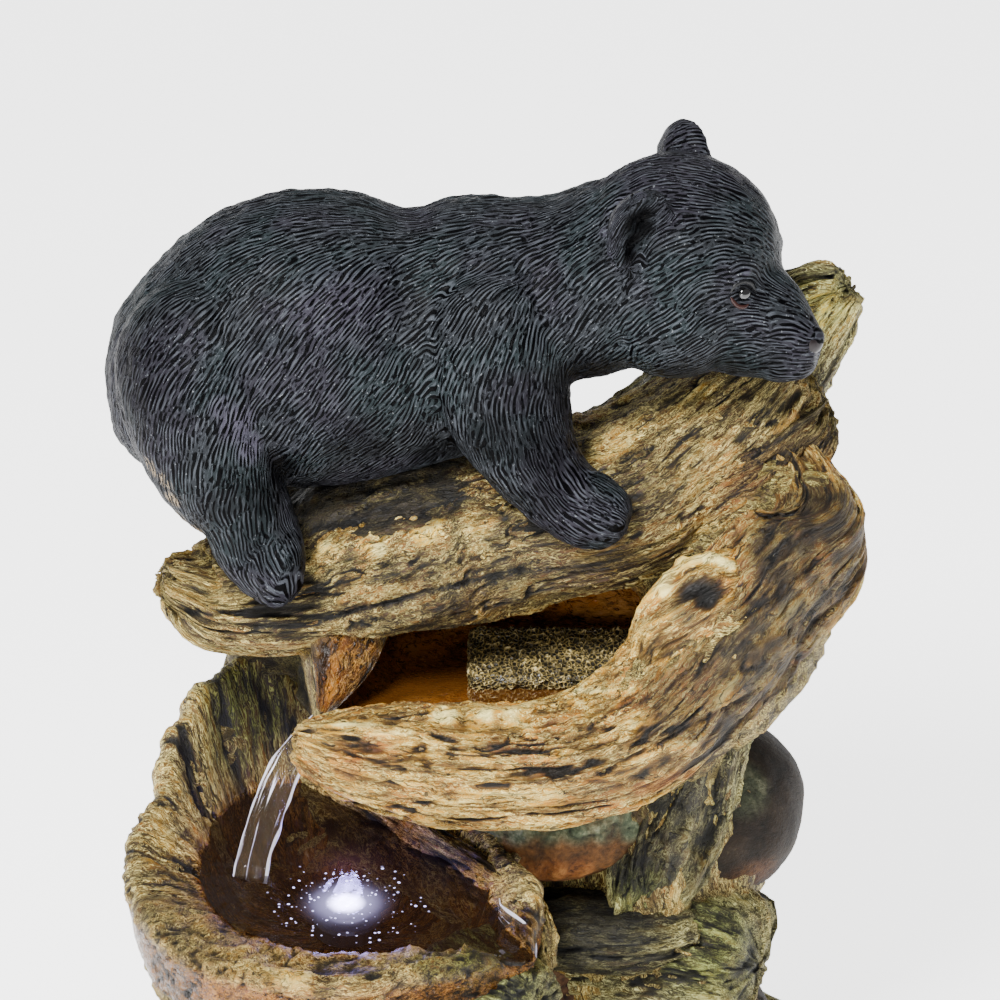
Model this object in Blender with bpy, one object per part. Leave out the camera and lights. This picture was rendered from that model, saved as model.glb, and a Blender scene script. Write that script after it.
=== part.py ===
"""Bear garden fountain: a black bear walks along a hollow log that spills into a log bowl and a basin below.

Metres, +Z up. The front faces -Y, and the origin is the middle of the flat underside.
The cast body is one solid: its logs, stones and bowls are lofted and joined by a voxel remesh, and the
basins are then cut out of it. The bear, the lamp and the splash foam are solids of their own.
"""

import math

import bmesh
import bpy
from mathutils import Matrix, Vector, noise

# Clearance between pieces that touch
SEAT_GAP = 0.0003

# Bear: every station below is a share of its length, from its stance point between the paws
BEAR_LENGTH = 0.352
BEAR_STANCE = Vector((-0.02, 0.02, 0.38))
BEAR_VOXEL_SHARE = 0.0085
BEAR_TRIANGLE_SHARE = 0.066
FUR_LOCK_SHARE = 0.0045

# Cast body of logs and stones
BODY_VOXEL = 0.0045
BODY_TRIANGLE_SHARE = 0.036
BARK_RELIEF = 0.0034

# Upper trough, hollowed between the top log and the rim log
TROUGH_CENTRE = Vector((0.008, -0.012))
TROUGH_FLOOR = 0.262
TROUGH_DEPTH = 0.056

# Log bowl at the front left: for each angle in degrees round its centre, its inner radius at the water,
# its radius at the crest, and the crest's height over the water
BOWL_CENTRE = Vector((-0.078, -0.088))
BOWL_FOOT = Vector((-0.052, -0.050))
BOWL_FLOOR = 0.166
BOWL_WATER = 0.205
BOWL_PLAN = [
    (0, 0.070, 0.084, 0.014),
    (22, 0.056, 0.070, 0.014),
    (48, 0.053, 0.067, 0.014),
    (75, 0.064, 0.080, 0.015),
    (97, 0.090, 0.114, 0.033),
    (113, 0.096, 0.134, 0.061),
    (128, 0.092, 0.128, 0.055),
    (139, 0.087, 0.118, 0.045),
    (159, 0.076, 0.105, 0.025),
    (180, 0.072, 0.109, 0.016),
    (205, 0.071, 0.110, 0.012),
    (235, 0.070, 0.112, 0.008),
    (270, 0.070, 0.112, 0.007),
    (295, 0.074, 0.108, 0.009),
    (308, 0.092, 0.112, 0.008),
    (320, 0.122, 0.116, -0.003),
    (330, 0.092, 0.112, 0.010),
    (342, 0.076, 0.102, 0.015),
]

# Ledge pool at the front right
LEDGE_CENTRE = Vector((0.052, -0.066))
LEDGE_TOP = 0.176
LEDGE_THICKNESS = 0.036
LEDGE_DEPTH = 0.010

# Catch basin
BASIN_CENTRE = Vector((0.0, -0.095))
BASIN_HALF = Vector((0.185, 0.150))
BASIN_RIM_WIDTH = 0.028
BASIN_RIM_HEIGHT = 0.048
BASIN_FLOOR = 0.028

# Underwater lamp on the bowl's floor, a little behind the bowl's centre
LAMP_PLACE = BOWL_CENTRE + Vector((0.001, 0.008))
LAMP_RADIUS = 0.017
LAMP_HEIGHT = 0.015
LAMP_LENS_RADIUS = 0.012

# Splash foam in the trough
FOAM_LENGTH = 0.086
FOAM_DEPTH = 0.044
FOAM_THICKNESS = 0.024
FOAM_PLACE = TROUGH_CENTRE + Vector((0.018, 0.002))
FOAM_TILT = math.radians(14)

UP = Vector((0, 0, 1))
FRONT = Vector((0, -1, 0))


def clear_scene():
    for thing in list(bpy.data.objects):
        bpy.data.objects.remove(thing)


def make_material(name, colour, roughness, metallic=0.0):
    material = bpy.data.materials.new(name)
    material.use_nodes = True
    shader = material.node_tree.nodes["Principled BSDF"]
    shader.inputs["Base Color"].default_value = (*colour, 1.0)
    shader.inputs["Roughness"].default_value = roughness
    shader.inputs["Metallic"].default_value = metallic
    material.diffuse_color = (*colour, 1.0)
    return material


def object_from(name, mesh_builder, material=None):
    """A named object whose mesh is what mesh_builder, a bmesh, holds."""
    bmesh.ops.recalc_face_normals(mesh_builder, faces=mesh_builder.faces)
    mesh = bpy.data.meshes.new(name)
    mesh_builder.to_mesh(mesh)
    mesh_builder.free()
    made = bpy.data.objects.new(name, mesh)
    bpy.context.scene.collection.objects.link(made)
    if material is not None:
        mesh.materials.append(material)
    return made


def as_helper(made):
    """A cutter or guide, which isn't part of the object."""
    made.hide_render = True
    made.display_type = "WIRE"
    return made


def curve_through(stations, steps):
    """Catmull-Rom samples through stations, each a tuple of numbers; steps samples to a span."""
    count = len(stations)
    width = len(stations[0])
    samples = []
    for span in range(count - 1):
        before = stations[max(span - 1, 0)]
        start = stations[span]
        end = stations[span + 1]
        after = stations[min(span + 2, count - 1)]
        for step in range(steps):
            t = step / steps
            point = []
            for k in range(width):
                slope_in = (end[k] - before[k]) / 2
                slope_out = (after[k] - start[k]) / 2
                rise = end[k] - start[k]
                bend = 3 * rise - 2 * slope_in - slope_out
                curl = slope_in + slope_out - 2 * rise
                point.append(start[k] + t * (slope_in + t * (bend + t * curl)))
            samples.append(tuple(point))
    samples.append(tuple(stations[-1]))
    return samples


def bark_relief(seed, height, ridges=7):
    """Long ridges that run with a log: a function of the angle round it and the way along it, in metres."""

    def relief(angle, along):
        reach = ridges / math.tau
        place = Vector((math.cos(angle) * reach * 2, math.sin(angle) * reach * 2, along * 9 + seed * 7.3))
        broad = noise.noise(place * 0.55)
        ridge = 1 - 2 * abs(noise.noise(place))
        return height * (0.9 * ridge - 0.6 + 0.9 * broad)

    return relief


def fur_locks(turns, height):
    """Locks of fur as slanting ridges round a body or a limb."""

    def relief(angle, along):
        wave = math.sin(9 * angle + turns * along) + 0.6 * math.sin(14 * angle - 0.6 * turns * along)
        return height * 0.6 * wave

    return relief


def add_loft(
    builder, stations, sides=24, steps=4, relief=None, square=2.0, up=UP, axis=None, ragged=0.0, seed=0
):
    """A closed body along stations (x, y, z, half width, half height).

    Its rings are square to its path, or to axis where one is given.
    """
    samples = curve_through(stations, steps)
    centres = [Vector(sample[:3]) for sample in samples]
    length = 0.0
    rings = []
    for index, sample in enumerate(samples):
        ahead = centres[min(index + 1, len(centres) - 1)] - centres[max(index - 1, 0)]
        tangent = axis or ahead.normalized()
        across = tangent.cross(up).normalized()
        lift = across.cross(tangent).normalized()
        if index:
            length += (centres[index] - centres[index - 1]).length
        to_end = min(index, len(samples) - 1 - index) / max(steps, 1)
        fray = ragged * max(0.0, 1 - to_end) * (1 if index * 2 > len(samples) else -1)
        ring = []
        for side in range(sides):
            angle = math.tau * side / sides
            c, s = math.cos(angle), math.sin(angle)
            power = 2 / square
            out_w = math.copysign(abs(c) ** power, c) * max(sample[3], 1e-5)
            out_h = math.copysign(abs(s) ** power, s) * max(sample[4], 1e-5)
            point = across * out_w + lift * out_h
            reach = point.length
            if relief is not None and reach > 1e-6:
                fade = min(1.0, reach / 0.012)
                point *= (reach + relief(angle, length) * fade) / reach
            if fray:
                point += tangent * fray * (noise.noise(Vector((c * 2.6, s * 2.6, seed * 3.1))) * 2)
            ring.append(builder.verts.new(centres[index] + point))
        rings.append(ring)
    for first, second in zip(rings, rings[1:]):
        for side in range(sides):
            after = (side + 1) % sides
            builder.faces.new((first[side], first[after], second[after], second[side]))
    builder.faces.new(rings[0][::-1])
    builder.faces.new(rings[-1])


def add_ellipsoid(builder, centre, radii, turn=None, subdivisions=3, bumps=0.0, seed=0):
    """An ellipsoid at centre, turned by a matrix, with its surface lumped by noise."""
    made = bmesh.ops.create_icosphere(builder, subdivisions=subdivisions, radius=1.0)
    for vert in made["verts"]:
        place = vert.co.copy()
        lump = 1 + bumps * noise.noise(place * 1.3 + Vector((seed * 5.7, 0, 0)))
        stretched = Vector((place.x * radii[0], place.y * radii[1], place.z * radii[2])) * lump
        vert.co = (turn @ stretched if turn else stretched) + Vector(centre)


def add_modifier(made, kind, name, **values):
    modifier = made.modifiers.new(name, kind)
    for key, value in values.items():
        setattr(modifier, key, value)
    return modifier


def cut(made, cutter, name):
    add_modifier(made, "BOOLEAN", name, operation="DIFFERENCE", object=cutter, solver="EXACT")


# Bear

def bear_point(share):
    """Scales a station given in shares of the bear's length."""
    x, y, z = share[:3]
    place = BEAR_STANCE + Vector((x, y, z)) * BEAR_LENGTH
    return (*place, *(value * BEAR_LENGTH for value in share[3:]))


def bear_loft(builder, stations, sides=24, turns=0.0, **options):
    relief = fur_locks(turns / BEAR_LENGTH, FUR_LOCK_SHARE * BEAR_LENGTH) if turns else None
    add_loft(builder, [bear_point(share) for share in stations], sides=sides, relief=relief, **options)


def bear_ball(builder, share, radii, turn=None):
    add_ellipsoid(builder, bear_point(share)[:3], [radius * BEAR_LENGTH for radius in radii], turn)


def add_bear_trunk(builder):
    """Rump, loin, withers and neck: half widths and half heights about the spine's middle."""
    trunk = [
        (-0.498, 0.000, 0.138, 0.030, 0.036),
        (-0.484, 0.000, 0.140, 0.088, 0.084),
        (-0.456, 0.000, 0.146, 0.130, 0.120),
        (-0.414, 0.000, 0.158, 0.164, 0.158),
        (-0.352, 0.000, 0.178, 0.190, 0.188),
        (-0.281, 0.000, 0.194, 0.199, 0.204),
        (-0.211, 0.000, 0.199, 0.199, 0.211),
        (-0.140, 0.000, 0.199, 0.190, 0.206),
        (-0.077, 0.000, 0.196, 0.172, 0.188),
        (-0.020, 0.000, 0.211, 0.170, 0.186),
        (0.036, 0.000, 0.224, 0.174, 0.179),
        (0.092, -0.006, 0.245, 0.164, 0.156),
        (0.148, -0.020, 0.285, 0.146, 0.132),
        (0.203, -0.036, 0.310, 0.138, 0.136),
        (0.262, -0.048, 0.324, 0.120, 0.130),
    ]
    bear_loft(builder, trunk, sides=32, turns=26.0, steps=4, axis=Vector((1, 0, 0)))


def add_bear_head(builder):
    """Skull, brow, cheeks and snout, turned towards the front and tipped down."""
    bear_ball(builder, (0.302, -0.052, 0.350), (0.146, 0.138, 0.142))
    bear_ball(builder, (0.302, -0.066, 0.296), (0.120, 0.132, 0.112))
    for place in ((0.372, -0.128, 0.350), (0.406, -0.028, 0.352)):
        bear_ball(builder, place, (0.045, 0.036, 0.036))
    snout = [
        (0.300, -0.062, 0.318, 0.118, 0.122),
        (0.350, -0.082, 0.300, 0.104, 0.107),
        (0.394, -0.100, 0.280, 0.080, 0.090),
        (0.429, -0.114, 0.264, 0.061, 0.077),
        (0.457, -0.127, 0.252, 0.048, 0.064),
        (0.480, -0.137, 0.247, 0.036, 0.047),
        (0.494, -0.143, 0.246, 0.020, 0.027),
    ]
    bear_loft(builder, snout, sides=24, steps=3)
    bear_ball(builder, (0.488, -0.142, 0.266), (0.016, 0.022, 0.015))


def add_bear_ear(builder, turned, base, lean):
    """A cupped ear: a dished disc that opens forwards, turned outwards."""
    turn = Matrix.Rotation(lean, 3, "X") @ Matrix.Rotation(turned, 3, "Z")
    centre = Vector(bear_point(base)[:3])
    disc_half = Vector((0.019, 0.056, 0.062)) * BEAR_LENGTH
    made = bmesh.ops.create_icosphere(builder, subdivisions=3, radius=1.0)
    for vert in made["verts"]:
        unit = vert.co.copy()
        rim = math.hypot(unit.y, unit.z)
        dish = 0.020 * BEAR_LENGTH * (rim * rim - 0.55)
        point = Vector((unit.x * disc_half.x + dish, unit.y * disc_half.y, unit.z * disc_half.z))
        vert.co = turn @ point + centre


def add_bear_legs(builder):
    near_front = [
        (0.040, -0.060, 0.330, 0.050, 0.050),
        (0.044, -0.074, 0.300, 0.096, 0.100),
        (0.048, -0.088, 0.240, 0.110, 0.120),
        (0.060, -0.114, 0.176, 0.098, 0.112),
        (0.088, -0.150, 0.112, 0.076, 0.088),
        (0.126, -0.178, 0.062, 0.058, 0.068),
        (0.158, -0.196, 0.038, 0.054, 0.054),
        (0.190, -0.210, 0.030, 0.056, 0.044),
        (0.218, -0.222, 0.029, 0.044, 0.034),
        (0.234, -0.228, 0.026, 0.020, 0.016),
    ]
    far_front = [
        (0.018, 0.080, 0.220, 0.106, 0.110),
        (0.002, 0.104, 0.140, 0.080, 0.088),
        (-0.010, 0.120, 0.078, 0.058, 0.062),
        (0.004, 0.132, 0.030, 0.048, 0.048),
        (0.034, 0.140, 0.004, 0.044, 0.034),
        (0.056, 0.142, -0.002, 0.022, 0.016),
    ]
    near_hind = [
        (-0.350, -0.046, 0.300, 0.060, 0.060),
        (-0.352, -0.066, 0.262, 0.104, 0.108),
        (-0.354, -0.086, 0.196, 0.124, 0.132),
        (-0.350, -0.114, 0.130, 0.114, 0.128),
        (-0.332, -0.146, 0.066, 0.090, 0.104),
        (-0.300, -0.166, 0.010, 0.066, 0.072),
        (-0.280, -0.182, -0.034, 0.062, 0.060),
        (-0.260, -0.202, -0.052, 0.060, 0.046),
        (-0.242, -0.230, -0.058, 0.052, 0.034),
        (-0.232, -0.246, -0.060, 0.026, 0.018),
    ]
    far_hind = [
        (-0.335, 0.085, 0.180, 0.125, 0.125),
        (-0.315, 0.125, 0.095, 0.095, 0.100),
        (-0.270, 0.142, 0.030, 0.066, 0.070),
        (-0.225, 0.150, -0.016, 0.054, 0.050),
        (-0.185, 0.152, -0.036, 0.050, 0.036),
        (-0.162, 0.152, -0.040, 0.024, 0.018),
    ]
    for leg in (near_front, far_front, near_hind, far_hind):
        bear_loft(builder, leg, sides=20, turns=14.0, steps=4, up=FRONT)


def finish_bear(made):
    """Joins the lofts into one skin, softens their meetings and thins the faces."""
    voxel = BEAR_VOXEL_SHARE * BEAR_LENGTH
    add_modifier(made, "REMESH", "one skin", mode="VOXEL", voxel_size=voxel, use_smooth_shade=True)
    add_modifier(made, "SMOOTH", "soften", factor=0.5, iterations=5)
    add_modifier(made, "DECIMATE", "fewer faces", ratio=BEAR_TRIANGLE_SHARE)


def make_bear(material):
    builder = bmesh.new()
    add_bear_trunk(builder)
    add_bear_head(builder)
    add_bear_ear(builder, math.radians(-50), (0.240, -0.174, 0.444), math.radians(12))
    add_bear_ear(builder, math.radians(34), (0.310, 0.048, 0.448), math.radians(-12))
    add_bear_legs(builder)
    bear_ball(builder, (-0.468, 0.000, 0.078), (0.020, 0.034, 0.036))
    made = object_from("bear", builder, material)
    finish_bear(made)
    return made


# Logs and stones of the cast body

def add_log(builder, stations, seed, sides=30, steps=4, relief=BARK_RELIEF, **options):
    add_loft(
        builder, stations, sides=sides, steps=steps, relief=bark_relief(seed, relief), seed=seed, **options
    )


def add_top_log(builder):
    """The log that the bear walks on, with a keel up to its belly."""
    log = [
        (-0.166, -0.014, 0.334, 0.018, 0.009),
        (-0.159, -0.014, 0.330, 0.025, 0.013),
        (-0.150, -0.012, 0.322, 0.033, 0.023),
        (-0.125, -0.004, 0.323, 0.046, 0.029),
        (-0.095, 0.010, 0.328, 0.060, 0.035),
        (-0.055, 0.018, 0.337, 0.068, 0.039),
        (-0.015, 0.020, 0.347, 0.070, 0.041),
        (0.020, 0.014, 0.357, 0.066, 0.040),
        (0.055, 0.006, 0.367, 0.056, 0.038),
        (0.090, 0.012, 0.384, 0.046, 0.038),
        (0.125, 0.022, 0.406, 0.036, 0.036),
        (0.145, 0.028, 0.424, 0.024, 0.028),
    ]
    add_log(builder, log, seed=1, square=2.2, ragged=0.007)
    keel = [
        (-0.120, -0.004, 0.334, 0.026, 0.014),
        (-0.090, 0.006, 0.346, 0.036, 0.024),
        (-0.050, 0.008, 0.360, 0.042, 0.026),
        (-0.010, 0.008, 0.368, 0.042, 0.024),
        (0.030, 0.004, 0.374, 0.034, 0.020),
    ]
    add_log(builder, keel, seed=2, relief=BARK_RELIEF * 0.6)


def add_back_wing(builder):
    """The tall broken slab that rises at the right behind the bear's head."""
    wing = [
        (0.010, 0.040, 0.352, 0.026, 0.022),
        (0.045, 0.042, 0.365, 0.026, 0.027),
        (0.080, 0.044, 0.383, 0.025, 0.032),
        (0.110, 0.046, 0.404, 0.023, 0.036),
        (0.133, 0.047, 0.426, 0.021, 0.036),
        (0.150, 0.045, 0.446, 0.018, 0.030),
        (0.162, 0.043, 0.459, 0.014, 0.022),
        (0.170, 0.042, 0.465, 0.009, 0.013),
    ]
    add_log(builder, wing, seed=3, square=2.6, ragged=0.008)
    shelf = [
        (0.030, 0.010, 0.342, 0.034, 0.014),
        (0.075, 0.004, 0.356, 0.040, 0.020),
        (0.118, 0.006, 0.380, 0.036, 0.026),
        (0.148, 0.014, 0.402, 0.024, 0.020),
        (0.160, 0.020, 0.412, 0.012, 0.010),
    ]
    add_log(builder, shelf, seed=4, square=2.4, ragged=0.005)


def add_rim_log(builder):
    """The thick log that curves round the front of the upper trough and climbs at the right."""
    rim = [
        (-0.096, -0.086, 0.280, 0.012, 0.013),
        (-0.076, -0.092, 0.278, 0.024, 0.022),
        (-0.040, -0.096, 0.275, 0.031, 0.027),
        (0.000, -0.098, 0.273, 0.033, 0.028),
        (0.036, -0.095, 0.276, 0.033, 0.029),
        (0.070, -0.087, 0.288, 0.033, 0.031),
        (0.100, -0.072, 0.313, 0.033, 0.034),
        (0.128, -0.052, 0.341, 0.032, 0.036),
        (0.151, -0.031, 0.362, 0.030, 0.034),
        (0.147, -0.012, 0.380, 0.023, 0.024),
        (0.136, 0.002, 0.394, 0.015, 0.016),
    ]
    add_log(builder, rim, seed=5, square=2.3, ragged=0.004)
    burl = [
        (0.076, -0.070, 0.318, 0.018, 0.014),
        (0.088, -0.072, 0.340, 0.022, 0.020),
        (0.100, -0.068, 0.352, 0.022, 0.018),
        (0.122, -0.058, 0.356, 0.016, 0.014),
    ]
    add_log(builder, burl, seed=6, steps=3, relief=BARK_RELIEF * 0.5)


def add_trough_bed(builder):
    """What closes the trough below and behind, down to the pillar."""
    bed = [
        (-0.094, -0.036, 0.268, 0.036, 0.014),
        (-0.070, -0.026, 0.266, 0.062, 0.022),
        (-0.020, -0.010, 0.266, 0.086, 0.032),
        (0.040, 0.000, 0.268, 0.092, 0.038),
        (0.090, 0.006, 0.282, 0.082, 0.048),
        (0.124, 0.012, 0.310, 0.056, 0.052),
        (0.140, 0.016, 0.340, 0.030, 0.036),
    ]
    add_log(builder, bed, seed=7, square=2.5)
    back = [
        (-0.112, 0.050, 0.286, 0.028, 0.036),
        (-0.070, 0.070, 0.292, 0.034, 0.052),
        (0.000, 0.076, 0.296, 0.036, 0.058),
        (0.060, 0.072, 0.306, 0.036, 0.056),
        (0.105, 0.060, 0.326, 0.034, 0.054),
        (0.132, 0.048, 0.352, 0.028, 0.046),
    ]
    add_log(builder, back, seed=8, square=2.6)
    spout_fin = [
        (-0.090, 0.018, 0.300, 0.014, 0.020),
        (-0.092, -0.014, 0.292, 0.009, 0.022),
        (-0.090, -0.044, 0.282, 0.006, 0.016),
        (-0.088, -0.058, 0.272, 0.004, 0.010),
    ]
    add_log(builder, spout_fin, seed=9, sides=16, relief=BARK_RELIEF * 0.3)


def add_pillar(builder):
    """The stump behind the bowls that carries the upper logs."""
    pillar = [
        (0.014, 0.030, -0.020, 0.124, 0.098),
        (0.014, 0.032, 0.050, 0.112, 0.092),
        (0.016, 0.034, 0.120, 0.100, 0.084),
        (0.016, 0.038, 0.190, 0.098, 0.076),
        (0.014, 0.044, 0.250, 0.100, 0.072),
        (0.012, 0.050, 0.300, 0.096, 0.062),
    ]
    add_log(builder, pillar, seed=10, sides=40, relief=BARK_RELIEF * 1.6, up=FRONT, axis=UP)
    bark_wall = [
        (-0.100, 0.030, 0.020, 0.052, 0.050),
        (-0.104, 0.034, 0.150, 0.050, 0.040),
        (-0.108, 0.040, 0.200, 0.044, 0.034),
        (-0.108, 0.042, 0.250, 0.038, 0.028),
        (-0.102, 0.042, 0.300, 0.034, 0.026),
    ]
    add_log(builder, bark_wall, seed=11, relief=BARK_RELIEF * 1.2, up=FRONT, axis=UP)


def add_stones(builder):
    """Boulders wedged between the logs."""
    stones = [
        ((0.024, -0.028, 0.214), (0.060, 0.056, 0.034), 0.12, 1),
        ((0.109, 0.004, 0.192), (0.049, 0.050, 0.048), 0.08, 2),
        ((0.010, -0.020, 0.120), (0.070, 0.056, 0.046), 0.25, 3),
        ((0.090, -0.052, 0.070), (0.058, 0.056, 0.044), 0.22, 4),
        ((0.074, 0.074, 0.044), (0.050, 0.052, 0.046), 0.22, 5),
        ((-0.080, 0.070, 0.060), (0.062, 0.056, 0.056), 0.22, 6),
        ((0.040, -0.128, 0.036), (0.040, 0.032, 0.030), 0.22, 7),
    ]
    for centre, radii, bumps, seed in stones:
        add_ellipsoid(builder, centre, radii, bumps=bumps, seed=seed, subdivisions=4)


def add_props(builder):
    """The bark slab under the rim log, the stub log and the ledge that hold the right side."""
    prop = [
        (0.099, -0.020, 0.276, 0.034, 0.018),
        (0.095, -0.032, 0.242, 0.031, 0.017),
        (0.087, -0.046, 0.212, 0.029, 0.015),
        (0.078, -0.058, 0.188, 0.026, 0.013),
        (0.072, -0.064, 0.172, 0.018, 0.009),
    ]
    add_log(builder, prop, seed=12, square=2.5, ragged=0.010, up=Vector((0.45, -0.9, 0.2)))
    stub = [
        (0.010, -0.006, 0.138, 0.050, 0.038),
        (0.056, -0.028, 0.136, 0.050, 0.040),
        (0.100, -0.046, 0.134, 0.046, 0.038),
        (0.122, -0.054, 0.132, 0.040, 0.033),
    ]
    add_log(builder, stub, seed=13, square=2.3, ragged=0.006, relief=BARK_RELIEF * 1.4)
    middle = LEDGE_TOP - LEDGE_THICKNESS / 2
    ledge = [
        (LEDGE_CENTRE.x - 0.046, LEDGE_CENTRE.y + 0.010, middle - 0.003, 0.030, LEDGE_THICKNESS * 0.39),
        (LEDGE_CENTRE.x - 0.022, LEDGE_CENTRE.y + 0.008, middle + 0.001, 0.036, LEDGE_THICKNESS * 0.50),
        (LEDGE_CENTRE.x + 0.012, LEDGE_CENTRE.y + 0.006, middle + 0.001, 0.036, LEDGE_THICKNESS * 0.50),
        (LEDGE_CENTRE.x + 0.040, LEDGE_CENTRE.y + 0.010, middle - 0.001, 0.028, LEDGE_THICKNESS * 0.39),
    ]
    add_log(builder, ledge, seed=14, relief=BARK_RELIEF * 0.8)


def bowl_value(column, angle):
    """A column of the bowl's plan at an angle."""
    return outline_radius([(row[0], row[column]) for row in BOWL_PLAN], angle)


def add_bowl_stump(builder):
    """The log bowl's outside, its uneven crest and the slope down to the water."""
    relief = bark_relief(15, BARK_RELIEF * 1.5, ridges=9)
    skirt = 0.150
    outside = [(-0.020, 0.86), (0.045, 0.80), (0.100, 0.79), (skirt, 0.83)]
    wall = [(0.35, 0.92), (0.68, 0.98), (0.92, 1.01), (1.0, 0.94)]
    sides = 56
    rings = []
    for level in range(len(outside) + len(wall) + 1):
        ring = []
        for side in range(sides):
            angle = math.tau * side / sides
            crest_radius = bowl_value(2, angle)
            crest = BOWL_WATER + bowl_value(3, angle)
            if level < len(outside):
                height, share = outside[level]
                radius = crest_radius * share
            elif level < len(outside) + len(wall):
                rise, share = wall[level - len(outside)]
                height = skirt + (crest - skirt) * rise
                radius = crest_radius * share
            else:
                height = BOWL_WATER
                radius = bowl_value(1, angle) * 0.9
            lean = max(0.0, min(1.0, height / skirt))
            centre = BOWL_FOOT.lerp(BOWL_CENTRE, lean)
            radius += relief(angle, height) * (0.3 if level + 1 >= len(outside) + len(wall) else 1.0)
            place = (centre.x + radius * math.cos(angle), centre.y + radius * math.sin(angle), height)
            ring.append(builder.verts.new(place))
        rings.append(ring)
    for first, second in zip(rings, rings[1:]):
        for side in range(sides):
            after = (side + 1) % sides
            builder.faces.new((first[side], first[after], second[after], second[side]))
    builder.faces.new(rings[0][::-1])
    builder.faces.new(rings[-1])
    plank = [
        (-0.098, 0.008, 0.188, 0.008, 0.032),
        (-0.060, -0.032, 0.188, 0.008, 0.030),
        (-0.022, -0.074, 0.188, 0.008, 0.028),
        (0.010, -0.110, 0.188, 0.008, 0.026),
        (0.022, -0.134, 0.186, 0.006, 0.020),
    ]
    add_log(builder, plank, seed=16, sides=20, relief=BARK_RELIEF * 0.5, square=3.0)
    spout = [
        (-0.020, -0.130, 0.176, 0.034, 0.022),
        (-0.002, -0.152, 0.176, 0.030, 0.021),
        (0.012, -0.168, 0.180, 0.022, 0.018),
    ]
    add_log(builder, spout, seed=17, sides=20, relief=BARK_RELIEF * 0.5)


def add_catch_basin(builder):
    """The low basin: a floor, a ring of curved logs, and stones at the logs' meetings."""
    reach = BASIN_HALF + Vector((BASIN_RIM_WIDTH, BASIN_RIM_WIDTH)) / 2
    floor = [
        (*BASIN_CENTRE, -0.02, *reach),
        (*BASIN_CENTRE, BASIN_FLOOR / 2, *reach),
        (*BASIN_CENTRE, BASIN_FLOOR, *reach),
    ]
    add_loft(builder, floor, sides=48, steps=1, up=FRONT, axis=UP)
    log_count = 4
    for index in range(log_count):
        start = math.tau * (index + 0.12) / log_count
        stations = []
        points = 7
        for point in range(points):
            share = point / (points - 1)
            angle = start + math.tau / log_count * 0.98 * share
            swell = 1 - 0.22 * (2 * share - 1) ** 2
            height = BASIN_RIM_HEIGHT * (1 - 0.35 * max(0.0, math.sin(angle)))
            stations.append((
                BASIN_CENTRE.x + BASIN_HALF.x * math.cos(angle),
                BASIN_CENTRE.y + BASIN_HALF.y * math.sin(angle),
                height * (0.80 + 0.10 * math.sin(3 * index + 2 * share)),
                BASIN_RIM_WIDTH * swell,
                height * swell,
            ))
        add_log(builder, stations, seed=20 + index, square=2.4, ragged=0.006, relief=BARK_RELIEF * 1.2)
        meeting = start - 0.03
        add_ellipsoid(
            builder,
            (
                BASIN_CENTRE.x + BASIN_HALF.x * math.cos(meeting),
                BASIN_CENTRE.y + BASIN_HALF.y * math.sin(meeting),
                BASIN_RIM_HEIGHT * 0.75,
            ),
            (BASIN_RIM_WIDTH * 1.25, BASIN_RIM_WIDTH * 1.25, BASIN_RIM_HEIGHT * 0.95),
            bumps=0.25,
            seed=30 + index,
        )


# Hollows

def outline_radius(outline, angle):
    """The radius at an angle of a closed outline given as (degrees, radius) corners, in order."""
    turn = math.degrees(angle) % 360
    corners = [*outline, (outline[0][0] + 360, outline[0][1])]
    for (first, near), (second, far) in zip(corners, corners[1:]):
        for shift in (0, 360):
            if first <= turn + shift <= second:
                share = (turn + shift - first) / (second - first)
                ease = share * share * (3 - 2 * share)
                return near + (far - near) * ease
    return outline[0][1]


def hollow_from(name, rings, top_centre):
    """A cutter through rings of places, closed flat below and by a fan to top_centre above."""
    builder = bmesh.new()
    made = [[builder.verts.new(place) for place in ring] for ring in rings]
    sides = len(made[0])
    for first, second in zip(made, made[1:]):
        for side in range(sides):
            after = (side + 1) % sides
            builder.faces.new((first[side], first[after], second[after], second[side]))
    builder.faces.new(made[0][::-1])
    tip = builder.verts.new(top_centre)
    for side in range(sides):
        builder.faces.new((made[-1][side], made[-1][(side + 1) % sides], tip))
    return as_helper(object_from(name, builder))


def make_hollow(name, centre, outline, floor, levels, sides=48):
    """A cutter with the plan outline; levels are (height above the floor, share of the outline)."""
    rings = []
    for height, share in levels:
        ring = []
        for side in range(sides):
            angle = math.tau * side / sides
            radius = outline_radius(outline, angle) * share
            ring.append(
                (centre.x + radius * math.cos(angle), centre.y + radius * math.sin(angle), floor + height)
            )
        rings.append(ring)
    return hollow_from(name, rings, (centre.x, centre.y, floor + levels[-1][0]))


def make_bowl_hollow():
    """From a smaller floor out to the pool's edge at the water, then out to the crest."""
    depth = BOWL_WATER - BOWL_FLOOR
    below = [(0.0, 0.72), (0.35, 0.88), (1.0, 1.0)]
    clear = 0.010
    top_centre = (*BOWL_CENTRE, BOWL_WATER + 0.028)
    sides = 56
    rings = []
    for rise, share in below:
        rings.append([
            (math.tau * side / sides, bowl_value(1, math.tau * side / sides) * share, BOWL_FLOOR + depth * rise)
            for side in range(sides)
        ])
    for share, above in ((0.90, 0.0), (0.97, clear)):
        rings.append([
            (
                math.tau * side / sides,
                max(bowl_value(2, math.tau * side / sides) * share, bowl_value(1, math.tau * side / sides)),
                BOWL_WATER + bowl_value(3, math.tau * side / sides) + above,
            )
            for side in range(sides)
        ])
    placed = [
        [
            (BOWL_CENTRE.x + radius * math.cos(angle), BOWL_CENTRE.y + radius * math.sin(angle), height)
            for angle, radius, height in ring
        ]
        for ring in rings
    ]
    return hollow_from("bowl hollow", placed, top_centre)


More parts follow.
